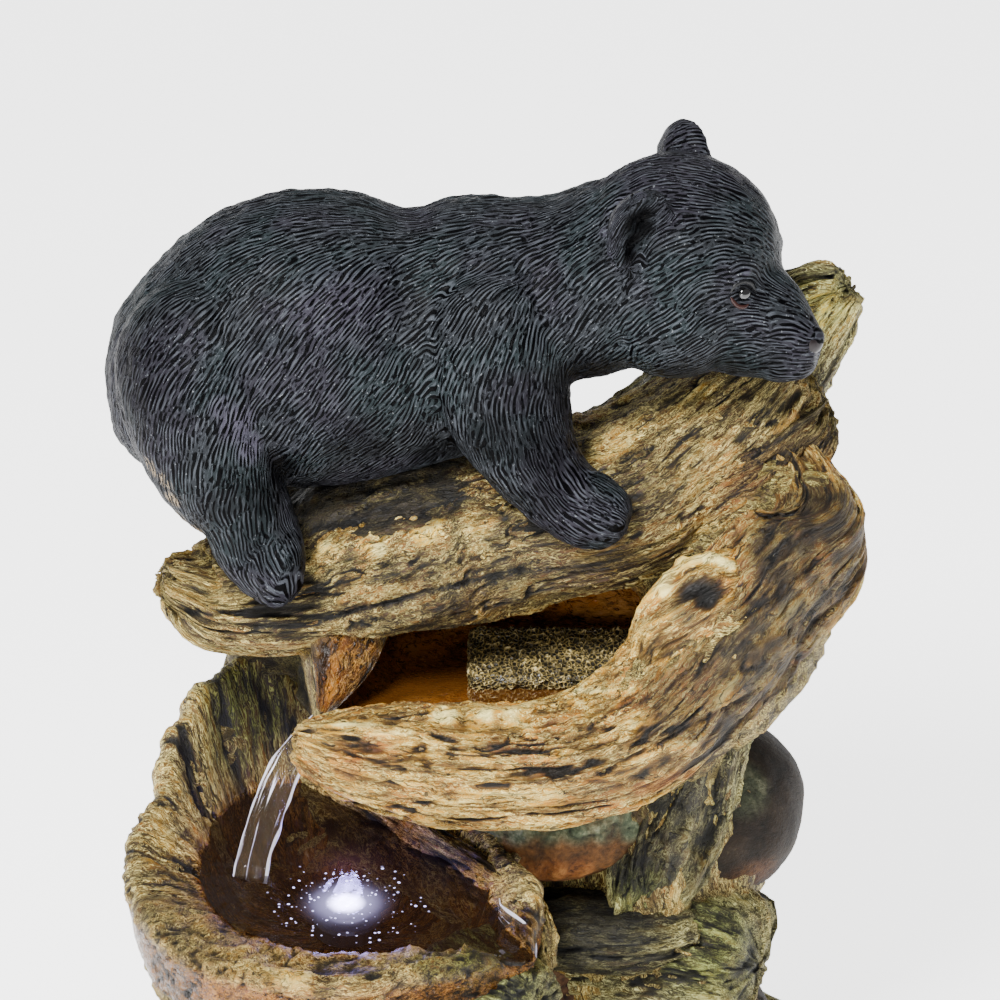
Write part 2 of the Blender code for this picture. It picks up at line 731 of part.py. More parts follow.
def make_trough_hollow():
    """A long slot under the top log, open at its left end, where it spills."""
    outline = [
        (0, 0.080), (25, 0.078), (60, 0.058), (90, 0.054), (130, 0.062), (160, 0.078), (180, 0.086),
        (200, 0.104), (213, 0.124), (222, 0.092), (245, 0.058), (270, 0.054), (300, 0.058), (335, 0.072),
    ]
    levels = [
        (0.0, 0.80), (TROUGH_DEPTH * 0.2, 0.94), (TROUGH_DEPTH * 0.55, 1.0), (TROUGH_DEPTH, 0.92),
    ]
    return make_hollow("trough hollow", TROUGH_CENTRE, outline, TROUGH_FLOOR, levels)


def make_ledge_hollow():
    outline = [(0, 0.030), (90, 0.018), (180, 0.030), (270, 0.020)]
    levels = [(0.0, 0.8), (LEDGE_DEPTH * 0.4, 1.0), (LEDGE_DEPTH, 1.08)]
    return make_hollow("ledge hollow", LEDGE_CENTRE, outline, LEDGE_TOP - LEDGE_DEPTH, levels, sides=24)


def make_ground():
    """Cuts the underside flat at the height of the origin."""
    builder = bmesh.new()
    bmesh.ops.create_cube(builder, size=1.0)
    depth = 0.1
    bmesh.ops.scale(builder, vec=(1.0, 1.0, depth), verts=builder.verts)
    bmesh.ops.translate(builder, vec=(0, 0, -depth / 2), verts=builder.verts)
    return as_helper(object_from("ground", builder))


def make_bear_seat(bear):
    """The bear's own shape, a seat gap larger all round, which beds it in the log."""
    seat = as_helper(bear.copy())
    seat.name = "bear seat"
    bpy.context.scene.collection.objects.link(seat)
    add_modifier(seat, "DISPLACE", "gap", strength=SEAT_GAP, mid_level=0.0)
    return seat


def make_body(material, bear):
    builder = bmesh.new()
    for add in (
        add_top_log, add_back_wing, add_rim_log, add_trough_bed, add_pillar, add_stones, add_props,
        add_bowl_stump, add_catch_basin,
    ):
        add(builder)
    made = object_from("fountain_body", builder, material)
    add_modifier(made, "REMESH", "one casting", mode="VOXEL", voxel_size=BODY_VOXEL)
    add_modifier(made, "SMOOTH", "soften", factor=0.5, iterations=2)
    add_modifier(made, "DECIMATE", "fewer faces", ratio=BODY_TRIANGLE_SHARE)
    for cutter in (make_trough_hollow(), make_bowl_hollow(), make_ledge_hollow(), make_ground()):
        cut(made, cutter, cutter.name)
    cut(made, make_bear_seat(bear), "bear seat")
    return made


# Lamp and foam

def make_lamp(material):
    """A sealed puck with a stepped rim and a domed lens, standing on the bowl's floor."""
    body_height = LAMP_HEIGHT * 0.62
    bevel = LAMP_RADIUS * 0.08
    profile = [
        (LAMP_RADIUS - bevel, 0.0),
        (LAMP_RADIUS, bevel),
        (LAMP_RADIUS, body_height - bevel),
        (LAMP_RADIUS - bevel, body_height),
        (LAMP_LENS_RADIUS, body_height),
    ]
    dome_steps = 4
    for step in range(1, dome_steps):
        turn = math.pi / 2 * step / dome_steps
        dome_rise = LAMP_HEIGHT - body_height
        profile.append((LAMP_LENS_RADIUS * math.cos(turn), body_height + dome_rise * math.sin(turn)))
    sides = 24
    builder = bmesh.new()
    base = BOWL_FLOOR + SEAT_GAP
    rings = []
    for radius, height in profile:
        rings.append([
            builder.verts.new((
                LAMP_PLACE.x + radius * math.cos(math.tau * side / sides),
                LAMP_PLACE.y + radius * math.sin(math.tau * side / sides),
                base + height,
            ))
            for side in range(sides)
        ])
    for first, second in zip(rings, rings[1:]):
        for side in range(sides):
            after = (side + 1) % sides
            builder.faces.new((first[side], first[after], second[after], second[side]))
    builder.faces.new(rings[0][::-1])
    builder.faces.new(rings[-1])
    return object_from("bowl_lamp", builder, material)


def make_foam(material):
    """A pad of open-cell foam that stills the water, tipped forwards in the trough."""
    builder = bmesh.new()
    bmesh.ops.create_cube(builder, size=1.0)
    bmesh.ops.scale(builder, vec=(FOAM_LENGTH, FOAM_DEPTH, FOAM_THICKNESS), verts=builder.verts)
    bmesh.ops.bevel(
        builder, geom=builder.edges, offset=FOAM_THICKNESS * 0.18, segments=2, profile=0.5, affect="EDGES"
    )
    made = object_from("splash_foam", builder, material)
    low_corner = FOAM_DEPTH / 2 * math.sin(FOAM_TILT) + FOAM_THICKNESS / 2 * math.cos(FOAM_TILT)
    made.location = (FOAM_PLACE.x, FOAM_PLACE.y, TROUGH_FLOOR + SEAT_GAP + low_corner)
    made.rotation_euler = (FOAM_TILT, 0, 0)
    return made


def main():
    clear_scene()
    fur = make_material("painted fur", (0.035, 0.037, 0.042), 0.55)
    wood = make_material("painted wood", (0.42, 0.30, 0.16), 0.60)
    lens = make_material("lamp plastic", (0.80, 0.84, 0.92), 0.25)
    foam = make_material("filter foam", (0.10, 0.08, 0.05), 0.90)
    bear = make_bear(fur)
    make_body(wood, bear)
    make_lamp(lens)
    make_foam(foam)


main()
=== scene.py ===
"""The looks of the bear garden fountain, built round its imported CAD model.

Metres, +Z up, and the front faces -Y. The logs are lofts through the same stations as the CAD solids, finer
and with carved grain. A core from the body's own solid closes the casting behind and between them.
"""

import math

import bmesh
import bpy
import numpy as np
from mathutils import Matrix, Vector, noise
from mathutils.bvhtree import BVHTree


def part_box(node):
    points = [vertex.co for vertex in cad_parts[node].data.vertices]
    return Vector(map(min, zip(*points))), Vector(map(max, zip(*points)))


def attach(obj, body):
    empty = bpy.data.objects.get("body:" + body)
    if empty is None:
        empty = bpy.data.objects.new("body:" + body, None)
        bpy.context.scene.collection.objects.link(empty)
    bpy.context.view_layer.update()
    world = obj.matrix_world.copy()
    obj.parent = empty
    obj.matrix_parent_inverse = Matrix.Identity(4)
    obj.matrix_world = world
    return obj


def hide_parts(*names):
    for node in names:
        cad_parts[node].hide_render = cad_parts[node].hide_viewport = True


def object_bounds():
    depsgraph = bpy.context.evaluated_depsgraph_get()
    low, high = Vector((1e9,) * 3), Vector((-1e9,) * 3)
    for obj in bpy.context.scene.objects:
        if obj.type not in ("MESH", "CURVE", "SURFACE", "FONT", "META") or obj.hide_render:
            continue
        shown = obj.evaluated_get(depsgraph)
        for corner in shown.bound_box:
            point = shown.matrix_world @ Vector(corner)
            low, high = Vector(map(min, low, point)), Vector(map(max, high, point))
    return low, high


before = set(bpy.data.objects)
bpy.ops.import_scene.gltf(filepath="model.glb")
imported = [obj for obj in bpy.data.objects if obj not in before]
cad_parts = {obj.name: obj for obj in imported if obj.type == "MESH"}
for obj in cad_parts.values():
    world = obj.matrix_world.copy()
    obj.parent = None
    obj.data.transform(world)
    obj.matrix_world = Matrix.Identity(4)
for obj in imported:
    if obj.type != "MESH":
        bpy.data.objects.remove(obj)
cad_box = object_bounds()

TAU = math.tau
UP = np.array((0.0, 0.0, 1.0))
FRONT = np.array((0.0, -1.0, 0.0))

# The photograph's view
VIEW_TARGET = np.array((0.0, 0.0, 0.37))
VIEW_ELEVATION = math.radians(27)
VIEW_DISTANCE = 2.2
VIEW_LENS = 158.4
VIEW_SENSOR = 36.0
IMAGE_SIZE = 1000

# Sizes shared with the CAD model
BEAR_LENGTH = 0.352
BEAR_STANCE = np.array((-0.02, 0.02, 0.38))
BARK_RELIEF = 0.0034
TROUGH_CENTRE = np.array((0.008, -0.012))
TROUGH_TOP = 0.318
BOWL_CENTRE = np.array((-0.078, -0.088))
BOWL_FOOT = np.array((-0.052, -0.050))
BOWL_FLOOR = 0.166
BOWL_WATER = 0.205
LEDGE_CENTRE = np.array((0.052, -0.066))
LEDGE_TOP = 0.176
BASIN_CENTRE = np.array((0.0, -0.095))
BASIN_HALF = np.array((0.185, 0.150))
BASIN_RIM_WIDTH = 0.028
BASIN_RIM_HEIGHT = 0.048
BASIN_WATER = 0.040
TROUGH_WATER = 0.279
LAMP_PLACE = np.array((*(BOWL_CENTRE + (0.001, 0.008)), BOWL_FLOOR + 0.012))

# One millimetre, and how much longer than wide the carved grain is
MM = 0.001
GRAIN_STRETCH = 5.5

# Edge of a voxel in the three remeshed skins
CORE_VOXEL = 0.0054
BEAR_VOXEL = 0.00190
FOAM_VOXEL = 0.00102


# Numbers from noise

def gradient_table():
    """Unit vectors that the lattice noise picks from."""
    picks = np.random.default_rng(11).normal(size=(256, 3))
    return picks / np.linalg.norm(picks, axis=1, keepdims=True)


GRADIENTS = gradient_table()


def lattice_noise(place, seed=0):
    """Smooth gradient noise from about -1 to 1 at each row of place."""
    base = np.floor(place)
    part = place - base
    base = base.astype(np.int64)
    ease = part * part * part * (part * (part * 6 - 15) + 10)
    total = np.zeros(len(place))
    for corner in range(8):
        step = np.array((corner & 1, corner >> 1 & 1, corner >> 2 & 1))
        cell = base + step
        mixed = cell[:, 0] * 374761393 + cell[:, 1] * 668265263 + cell[:, 2] * 1103515245 + seed * 974711
        mixed = (mixed ^ (mixed >> 13)) & 0xFFFFFFFF
        mixed = (mixed * 1274126177) & 0xFFFFFFFF
        pick = GRADIENTS[(mixed ^ (mixed >> 15)) & 255]
        weight = np.prod(np.where(step, ease, 1 - ease), axis=1)
        total += weight * np.einsum("ij,ij->i", part - step, pick)
    return total * 1.7


def layered_noise(place, seed=0, octaves=3, gain=0.5):
    total = 0.0
    height = 1.0
    for octave in range(octaves):
        total = total + height * lattice_noise(place * 2.03 ** octave, seed + octave * 17)
        height *= gain
    return total


def ease_between(value, low, high):
    share = np.clip((value - low) / (high - low), 0, 1)
    return share * share * (3 - 2 * share)


# Meshes

def curve_through(stations, steps):
    """Catmull-Rom samples through stations; steps samples to a span."""
    rows = np.array(stations, float)
    before = np.vstack((rows[:1], rows[:-2]))
    after = np.vstack((rows[2:], rows[-1:]))
    t = (np.arange(steps) / steps)[:, None, None]
    start, end = rows[:-1], rows[1:]
    slope_in = (end - before) / 2
    slope_out = (after - start) / 2
    rise = end - start
    bend = 3 * rise - 2 * slope_in - slope_out
    close = slope_in + slope_out - 2 * rise
    curve = start + t * (slope_in + t * (bend + t * close))
    return np.vstack((curve.transpose(1, 0, 2).reshape(-1, rows.shape[1]), rows[-1:]))


def evenly(stations, spacing):
    """The curve through stations at even steps, and the way along it at each."""
    fine = curve_through(stations, 24)
    reach = np.concatenate(([0], np.cumsum(np.linalg.norm(np.diff(fine[:, :3], axis=0), axis=1))))
    at = np.linspace(0, reach[-1], max(int(reach[-1] / spacing), 6))
    return np.stack([np.interp(at, reach, column) for column in fine.T], axis=1), at


def unit(rows):
    return rows / np.maximum(np.linalg.norm(rows, axis=-1, keepdims=True), 1e-9)


def bark_relief(seed, height, ridges=7):
    """The broad relief that the CAD solids also carry."""
    reach = ridges / TAU * 2

    def relief(angle, along):
        rows = []
        for turn, way in zip(angle.ravel(), along.ravel()):
            place = Vector((math.cos(turn) * reach, math.sin(turn) * reach, way * 9 + seed * 7.3))
            rows.append(height * (0.3 - 1.8 * abs(noise.noise(place)) + 0.9 * noise.noise(place * 0.55)))
        return np.array(rows).reshape(angle.shape)

    return relief


def grid_faces(rings, sides):
    """Quads of a tube of rings, and a face at each end."""
    ring = np.arange(rings - 1)[:, None] * sides
    side = np.arange(sides)[None, :]
    after = (side + 1) % sides
    quads = np.stack((ring + side, ring + after, ring + sides + after, ring + sides + side), axis=-1)
    faces = quads.reshape(-1, 4).tolist()
    faces.append(list(range(sides))[::-1])
    faces.append(list(range((rings - 1) * sides, rings * sides)))
    return faces


def grid_normals(grid, centres):
    """Outward normals of a tube's grid of places."""
    down = np.gradient(grid, axis=0)
    around = np.roll(grid, -1, axis=1) - np.roll(grid, 1, axis=1)
    normal = unit(np.cross(down, around))
    outward = grid - centres[:, None, :]
    if np.sum(np.einsum("ijk,ijk->ij", normal, outward)) < 0:
        normal = -normal
    return normal


def tube_grid(rows, across, lift, angle):
    """The rings of a plain tube from rows (x, y, z, half width, half height)."""
    return (
        rows[:, None, :3]
        + across[:, None, :] * (np.cos(angle)[None, :] * rows[:, 3:4])[..., None]
        + lift[:, None, :] * (np.sin(angle)[None, :] * rows[:, 4:5])[..., None]
    )


def fine_skin(builder, name, voxel, soften=0):
    """One even skin round the builder's mesh, softened in so many steps: its places, normals and faces."""
    mesh = bpy.data.meshes.new(name)
    builder.to_mesh(mesh)
    builder.free()
    draft = bpy.data.objects.new(name, mesh)
    bpy.context.scene.collection.objects.link(draft)
    remesh = draft.modifiers.new("fine skin", "REMESH")
    remesh.mode = "VOXEL"
    remesh.voxel_size = voxel
    if soften:
        smooth = draft.modifiers.new("soften", "SMOOTH")
        smooth.factor = 0.5
        smooth.iterations = soften
    return applied(draft)


def new_mesh_object(name, points, faces, **layers):
    """A smooth-shaded piece; layers are vertex attributes, by their width a float, a vector or a colour."""
    low, high = np.array(cad_box[0]), np.array(cad_box[1])
    mesh = bpy.data.meshes.new(name)
    mesh.from_pydata(np.clip(points, low, high).tolist(), [], faces)
    for layer, values in layers.items():
        values = np.asarray(values, float)
        width = 1 if values.ndim == 1 else values.shape[1]
        kind, key = {1: ("FLOAT", "value"), 3: ("FLOAT_VECTOR", "vector"), 4: ("FLOAT_COLOR", "color")}[width]
        attribute = mesh.attributes.new(layer, kind, "POINT")
        attribute.data.foreach_set(key, values.astype(np.float32).ravel())
    mesh.shade_smooth()
    made = bpy.data.objects.new(name, mesh)
    bpy.context.scene.collection.objects.link(made)
    return made


def finish_piece(made, material, replaced=None):
    """Gives a piece its material, its body and the CAD node that it stands for."""
    if made.data.materials:
        made.data.materials[0] = material
    else:
        made.data.materials.append(material)
    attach(made, "root")
    if replaced:
        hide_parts(replaced)
    return made


# Places from the photograph's view

def view_frame():
    """The camera's place, its right and the way that it looks."""
    back = np.array((0.0, -math.cos(VIEW_ELEVATION), math.sin(VIEW_ELEVATION)))
    place = VIEW_TARGET + back * VIEW_DISTANCE
    right = np.array((1.0, 0.0, 0.0))
    return place, right, -back


def view_ray(px, py):
    """The camera's place and the direction in which it sees a pixel."""
    place, right, ahead = view_frame()
    up = np.cross(right, ahead)
    half = VIEW_SENSOR / 2 / VIEW_LENS
    middle = IMAGE_SIZE / 2
    ray = ahead + right * (px - middle) / middle * half + up * (middle - py) / middle * half
    return place, ray / np.linalg.norm(ray)


def at_height(px, py, height):
    """Where the view through a pixel meets a level."""
    place, ray = view_ray(px, py)
    return place + ray * (height - place[2]) / ray[2]


def tree_of(made):
    points = [v.co for v in made.data.vertices]
    return BVHTree.FromPolygons(points, [tuple(p.vertices) for p in made.data.polygons])


def on_surface(tree, px, py):
    """Where the view through a pixel first meets a piece, and the normal there."""
    place, ray = view_ray(px, py)
    hit, normal, _, _ = tree.ray_cast(Vector(place), Vector(ray))
    return (None, None) if hit is None else (np.array(hit), np.array(normal))


# Node materials

def paint(red, green, blue):
    """A linear colour from 0 to 255 display values."""
    shares = [value / 255 for value in (red, green, blue)]
    return tuple(s / 12.92 if s <= 0.04045 else ((s + 0.055) / 1.055) ** 2.4 for s in shares)


FUR_GREY = paint(36, 38, 41)
FUR_TEAL = paint(33, 39, 41)
FUR_VIOLET = paint(38, 37, 43)
FUR_TUFT_AND_HIGHLIGHT = paint(76, 72, 86)
FUR_BRUSHED = paint(74, 78, 84)
FUR_FLECK = paint(120, 124, 128)
FUR_WORN = paint(170, 150, 122)
FUR_GROOVE_AND_SHADE = paint(1, 1, 2)


# The colour sockets of a Mix node, which share their names with its other sockets
MIX_FIRST = 6
MIX_SECOND = 7
MIX_RESULT = 2


class Graph:
    """A material's node tree, with short calls for the nodes used here."""

    def __init__(self, name):
        self.material = bpy.data.materials.new(name)
        self.material.use_nodes = True
        self.tree = self.material.node_tree
        self.shader = self.tree.nodes["Principled BSDF"]
        self.output = self.tree.nodes["Material Output"]

    def put(self, socket, value):
        if isinstance(value, bpy.types.NodeSocket):
            self.tree.links.new(value, socket)
        elif hasattr(value, "__len__") and socket.type == "RGBA":
            socket.default_value = (*value[:3], 1.0)
        else:
            socket.default_value = value

    def add(self, kind, values=(), **settings):
        node = self.tree.nodes.new("ShaderNode" + kind)
        for key, value in settings.items():
            setattr(node, key, value)
        for key, value in dict(values).items():
            self.put(node.inputs[key], value)
        return node

    def attribute(self, name):
        return self.add("Attribute", attribute_name=name)

    def noise(self, vector, scale, detail=2.0, roughness=0.5, distortion=0.0):
        values = {
            "Vector": vector, "Scale": scale, "Detail": detail, "Roughness": roughness,
            "Distortion": distortion,
        }
        return self.add("TexNoise", values).outputs[0]

    def maths(self, operation, first, second=0.0, third=0.0, clamp=False):
        node = self.add("Math", operation=operation, use_clamp=clamp)
        for socket, value in zip(node.inputs, (first, second, third)):
            self.put(socket, value)
        return node.outputs[0]

    def vector(self, operation, first, second=(0, 0, 0)):
        node = self.add("VectorMath", operation=operation)
        self.put(node.inputs[0], first)
        if operation == "SCALE":
            self.put(node.inputs["Scale"], second)
        else:
            self.put(node.inputs[1], second)
        return node.outputs["Value" if operation == "DOT_PRODUCT" else "Vector"]

    def span(self, value, low, high, to_low=0.0, to_high=1.0):
        """Eases value from one span to another."""
        node = self.add("MapRange", interpolation_type="SMOOTHSTEP")
        for socket, number in zip(node.inputs, (value, low, high, to_low, to_high)):
            self.put(socket, number)
        return node.outputs[0]

    def mix(self, share, first, second, blend="MIX"):
        node = self.add("Mix", data_type="RGBA", blend_type=blend)
        self.put(node.inputs["Factor"], share)
        self.put(node.inputs[MIX_FIRST], first)
        self.put(node.inputs[MIX_SECOND], second)
        return node.outputs[MIX_RESULT]

    def ramp(self, value, stops):
        node = self.add("ValToRGB", {"Fac": value})
        while len(node.color_ramp.elements) < len(stops):
            node.color_ramp.elements.new(1.0)
        for element, (place, colour) in zip(node.color_ramp.elements, stops):
            element.position = place
            element.color = (*colour, 1.0)
        return node.outputs[0]

    def bump(self, height, strength, distance, under=None):
        values = {"Height": height, "Strength": strength, "Distance": distance}
        if under is not None:
            values["Normal"] = under
        return self.add("Bump", values).outputs[0]

    def finish(self, **values):
        for key, value in values.items():
            self.put(self.shader.inputs[key.replace("_", " ")], value)
        return self.material


def wood_material(name, deep, brown, warm, cream, roughness=0.6, lean=0.0):
    """Carved wood: thin cream crests brushed over brown and gold, a dark wash between, and tinted areas,
    among them painted shade and painted light.
    """
    g = Graph(name)
    grain = g.attribute("grain").outputs["Vector"]
    relief = g.attribute("relief").outputs["Fac"]
    tint = g.attribute("tint")
    wet = g.attribute("wet").outputs["Fac"]
    masks = g.add("SeparateColor", {"Color": tint.outputs["Color"]})
    wander = g.add("TexNoise", {"Vector": grain, "Scale": 150.0, "Detail": 2.0}).outputs["Color"]
    wander = g.vector("SCALE", g.vector("SUBTRACT", wander, (0.5, 0.5, 0.5)), 0.0042)
    bent = g.vector("ADD", grain, wander)
    strands = g.noise(g.vector("MULTIPLY", bent, (1.0, 1.0, 0.16)), 560.0, 3.0, 0.62)
    fibres = g.noise(g.vector("MULTIPLY", bent, (1.0, 1.0, 0.22)), 1300.0, 2.0, 0.6)
    grit = g.noise(g.vector("MULTIPLY", bent, (1.0, 1.0, 0.5)), 2600.0, 2.0, 0.6)
    cracks = g.noise(g.vector("MULTIPLY", bent, (1.0, 1.0, 0.10)), 210.0, 2.0, 0.5)
    patches = g.noise(g.vector("MULTIPLY", bent, (1.0, 1.0, 0.30)), 85.0, 4.0, 0.65)
    blotches = g.noise(grain, 40.0, 3.0, 0.6)
    crest = g.span(g.maths("ABSOLUTE", g.maths("SUBTRACT", strands, 0.5)), 0.008, 0.034, 1.0, 0.0)
    hair = g.span(g.maths("ABSOLUTE", g.maths("SUBTRACT", fibres, 0.5)), 0.004, 0.05, 1.0, 0.0)
    wash = g.span(strands, 0.36, 0.47, 1.0, 0.0)
    crack = g.span(g.maths("ABSOLUTE", g.maths("SUBTRACT", cracks, 0.47)), 0.003, 0.014, 1.0, 0.0)
    pits = g.maths("MULTIPLY", g.span(grit, 0.66, 0.74), g.span(blotches, 0.40, 0.60))
    tone = g.maths("MULTIPLY_ADD", patches, 1.25, g.maths("MULTIPLY_ADD", relief, 0.9, lean - 0.62))
    # the pale mask lifts the tone: pale paint, and painted light in the shaded trough
    tone = g.maths("MULTIPLY_ADD", tint.outputs["Alpha"], 0.55, tone)
    tone = g.maths("MULTIPLY_ADD", grit, 0.30, g.maths("SUBTRACT", tone, 0.15), clamp=True)
    colour = g.ramp(tone, [(0.04, deep), (0.34, brown), (0.66, warm), (0.95, cream)])
    golden = g.mix(1.0, colour, paint(242, 206, 104), "MULTIPLY")
    colour = g.mix(g.span(blotches, 0.44, 0.62), colour, golden)
    colour = g.mix(g.maths("MULTIPLY", wash, 0.82), colour, g.mix(0.25, deep, brown))
    brushed = g.maths("MULTIPLY", g.span(relief, 0.24, 0.54), g.span(patches, 0.32, 0.54))
    brushed = g.maths("MULTIPLY_ADD", brushed, 0.95, 0.05)
    brushed = g.maths("MULTIPLY_ADD", tint.outputs["Alpha"], 0.6, brushed)
    lines = g.maths("MAXIMUM", crest, g.maths("MULTIPLY", hair, 0.55))
    shown = g.maths("MULTIPLY", g.maths("MULTIPLY", lines, brushed), 0.95, clamp=True)
    colour = g.mix(shown, colour, cream)
    dark_lines = g.maths("MAXIMUM", g.maths("MULTIPLY", crack, 0.85), g.maths("MULTIPLY", pits, 0.8))
    colour = g.mix(dark_lines, colour, deep)
    colour = g.mix(g.span(relief, 0.06, 0.36, 0.88, 0.0), colour, tuple(value * 0.5 for value in deep))
    for mask, strength, shade in (
        (masks.outputs[0], 0.9, paint(158, 188, 120)),
        (masks.outputs[1], 0.9, paint(240, 176, 112)),
        # third mask: painted shade, and dark paint in places
        (masks.outputs[2], 1.0, paint(74, 74, 82)),
        (wet, 0.9, paint(196, 138, 82)),
    ):
        share = g.maths("MULTIPLY", mask, strength, clamp=True)
        colour = g.mix(share, colour, g.mix(1.0, colour, shade, "MULTIPLY"))
    rough = g.span(wet, 0.0, 1.0, roughness, 0.14)
    height = g.maths("MULTIPLY_ADD", crest, 0.5, g.maths("MULTIPLY", hair, 0.3))
    height = g.maths("MULTIPLY_ADD", wash, -0.9, height)
    height = g.maths("MULTIPLY_ADD", dark_lines, -1.1, height)
    height = g.maths("MULTIPLY_ADD", grit, 0.35, height)
    return g.finish(
        Base_Color=colour, Roughness=rough, Normal=g.bump(height, 0.9, 0.0008), Specular_IOR_Level=0.4,
    )


def rock_material(name, stops, speckle=0.3, roughness=0.7):
    """Cast stone: a mottled ramp, moss from above, rust below and a fine pitted skin."""
    g = Graph(name)
    place = g.attribute("grain").outputs["Vector"]
    relief = g.attribute("relief").outputs["Fac"]
    tint = g.attribute("tint")
    wet = g.attribute("wet").outputs["Fac"]
    masks = g.add("SeparateColor", {"Color": tint.outputs["Color"]})
    broad = g.noise(place, 60.0, 4.0, 0.6)
    fine = g.noise(place, 420.0, 4.0, 0.65)
    pits = g.noise(place, 1100.0, 2.0, 0.6)
    value = g.maths("MULTIPLY_ADD", fine, 0.9, g.maths("SUBTRACT", relief, 0.45))
    value = g.maths("MULTIPLY_ADD", broad, 0.7, g.maths("SUBTRACT", value, 0.35), clamp=True)
    colour = g.ramp(value, stops)
    mossy = g.ramp(value, [(0.1, paint(24, 30, 22)), (0.5, paint(78, 88, 66)), (0.9, paint(150, 154, 122))])
    colour = g.mix(g.maths("MULTIPLY", masks.outputs[0], g.span(broad, 0.2, 0.5), clamp=True), colour, mossy)
    rusty = g.ramp(value, [(0.1, paint(52, 26, 9)), (0.5, paint(118, 68, 25)), (0.9, paint(160, 110, 58))])
    colour = g.mix(g.maths("MULTIPLY", masks.outputs[1], g.span(fine, 0.25, 0.5), clamp=True), colour, rusty)
    # the third mask: painted shade and dark paint
    shade_and_dark_tone = g.ramp(value, [(0.15, paint(12, 12, 15)), (0.6, paint(44, 42, 50)), (0.95, paint(92, 88, 100))])
    colour = g.mix(masks.outputs[2], colour, shade_and_dark_tone)
    rough = g.span(wet, 0.0, 1.0, roughness, 0.14)
    height = g.maths("MULTIPLY_ADD", fine, 1.0, g.maths("MULTIPLY", pits, speckle))
    return g.finish(
        Base_Color=colour, Roughness=rough, Normal=g.bump(height, 0.7, 0.0016), Specular_IOR_Level=0.25,
    )


# Carved wood

def wood_relief(grain, seed, character):
    """Depth in metres and paint value of carved wood, from places (across, across, along) in metres."""
    stretch = np.array((1, 1, 1 / character.get("stretch", GRAIN_STRETCH)))
    size = character.get("size", 1.0)
    wander = np.stack([
        layered_noise(grain * (1, 1, 0.7) / 0.026, seed + 3, 2),
        layered_noise(grain * (1, 1, 0.7) / 0.026, seed + 4, 2),
        layered_noise(grain / 0.014, seed + 2, 1),
    ], axis=1) * 0.0042
    place = (grain + wander) * stretch / size
    swell = layered_noise(place / (15 * MM), seed + 5, 2)
    plate = ease_between(layered_noise(place * (1, 1, 1.5) / (21 * MM), seed + 6, 4), -0.02, 0.03)
    flake = ease_between(layered_noise(place * (1, 1, 1.8) / (11 * MM), seed + 16, 3), 0.10, 0.15)
    strand = np.maximum(1 - 2.6 * np.abs(lattice_noise(place / (6.0 * MM), seed + 7)), -0.3)
    finer = np.maximum(1 - 2.4 * np.abs(lattice_noise(place / (3.0 * MM), seed + 8)), -0.3)
    where = ease_between(layered_noise(grain / (34 * MM), seed + 9, 2), -0.25, 0.35)
    split = np.abs(layered_noise(place * (1, 1, 0.6) / (13 * MM), seed + 10, 2, 0.3))
    split = (1 - ease_between(split, 0.015, 0.085)) * ease_between(
        layered_noise(grain / (20 * MM), seed + 12, 2), -0.15, 0.2
    )
    chip = layered_noise(grain / (4.6 * MM), seed + 13, 2)
    depth = (
        1.1 * swell
        + 1.3 * (plate - 0.5)
        + 0.7 * flake
        + (0.45 + 0.65 * where) * (strand - 0.3)
        + 0.50 * (finer - 0.3)
        - 2.1 * split
        + 0.34 * chip
    )
    value = (
        0.46 + 0.16 * swell + 0.16 * (plate - 0.5) + 0.10 * flake + (0.12 + 0.14 * where) * (strand - 0.3)
        + 0.16 * (finer - 0.3) - 0.62 * split + 0.07 * chip
    )
    return depth * MM * size * character.get("depth", 1.0) - 0.5 * MM, np.clip(value, 0, 1)


def spot_masks(points, spots, tree):
    """Tint masks (moss, rust, painted shade with dark paint, pale) and wetness from spots: px, py, radius in
    mm, layer, strength.
    """
    masks = np.zeros((len(points), 5))
    # the third layer darkens: mostly painted shade, in places dark paint, cracks and holes
    channels = {"moss": 0, "rust": 1, "shade_and_dark_paint": 2, "pale": 3, "wet": 4}
    for px, py, radius, channel, strength in spots:
        hit, _ = on_surface(tree, px, py)
        if hit is None:
            continue
        away = np.linalg.norm(points - hit, axis=1) / (radius * MM)
        column = channels[channel]
        masks[:, column] = np.maximum(masks[:, column], strength * (1 - ease_between(away, 0.45, 1.0)))
    ragged = 0.5 + 0.5 * layered_noise(points / (9 * MM), 77, 2)
    return np.clip(masks * (0.75 + 0.5 * ragged[:, None]), 0, 1)


def line_of(start, end, radius, *rest):
    """Spots along a line between two pixels, about as far apart as their radius in millimetres."""
    start, end = np.array(start, float), np.array(end, float)
    steps = max(int(np.linalg.norm(end - start) * 0.5 / radius), 1)
    return [(*(start + (end - start) * step / steps), radius, *rest) for step in range(steps + 1)]


def rise_of(points, faces, forms):
    """The rise in metres at each point from forms (px, py, radius in mm, rise in mm)."""
    tree = BVHTree.FromPolygons([tuple(point) for point in points], faces)
    high = np.zeros(len(points))
    low = np.zeros(len(points))
    for px, py, radius, height in forms:
        hit, _ = on_surface(tree, px, py)
        if hit is not None:
            away = np.linalg.norm(points - hit, axis=1) / (radius * MM)
            rise = height * MM * (1 - ease_between(away, 0.2, 1.0))
            high = np.maximum(high, rise)
            low = np.minimum(low, rise)
    return high, low


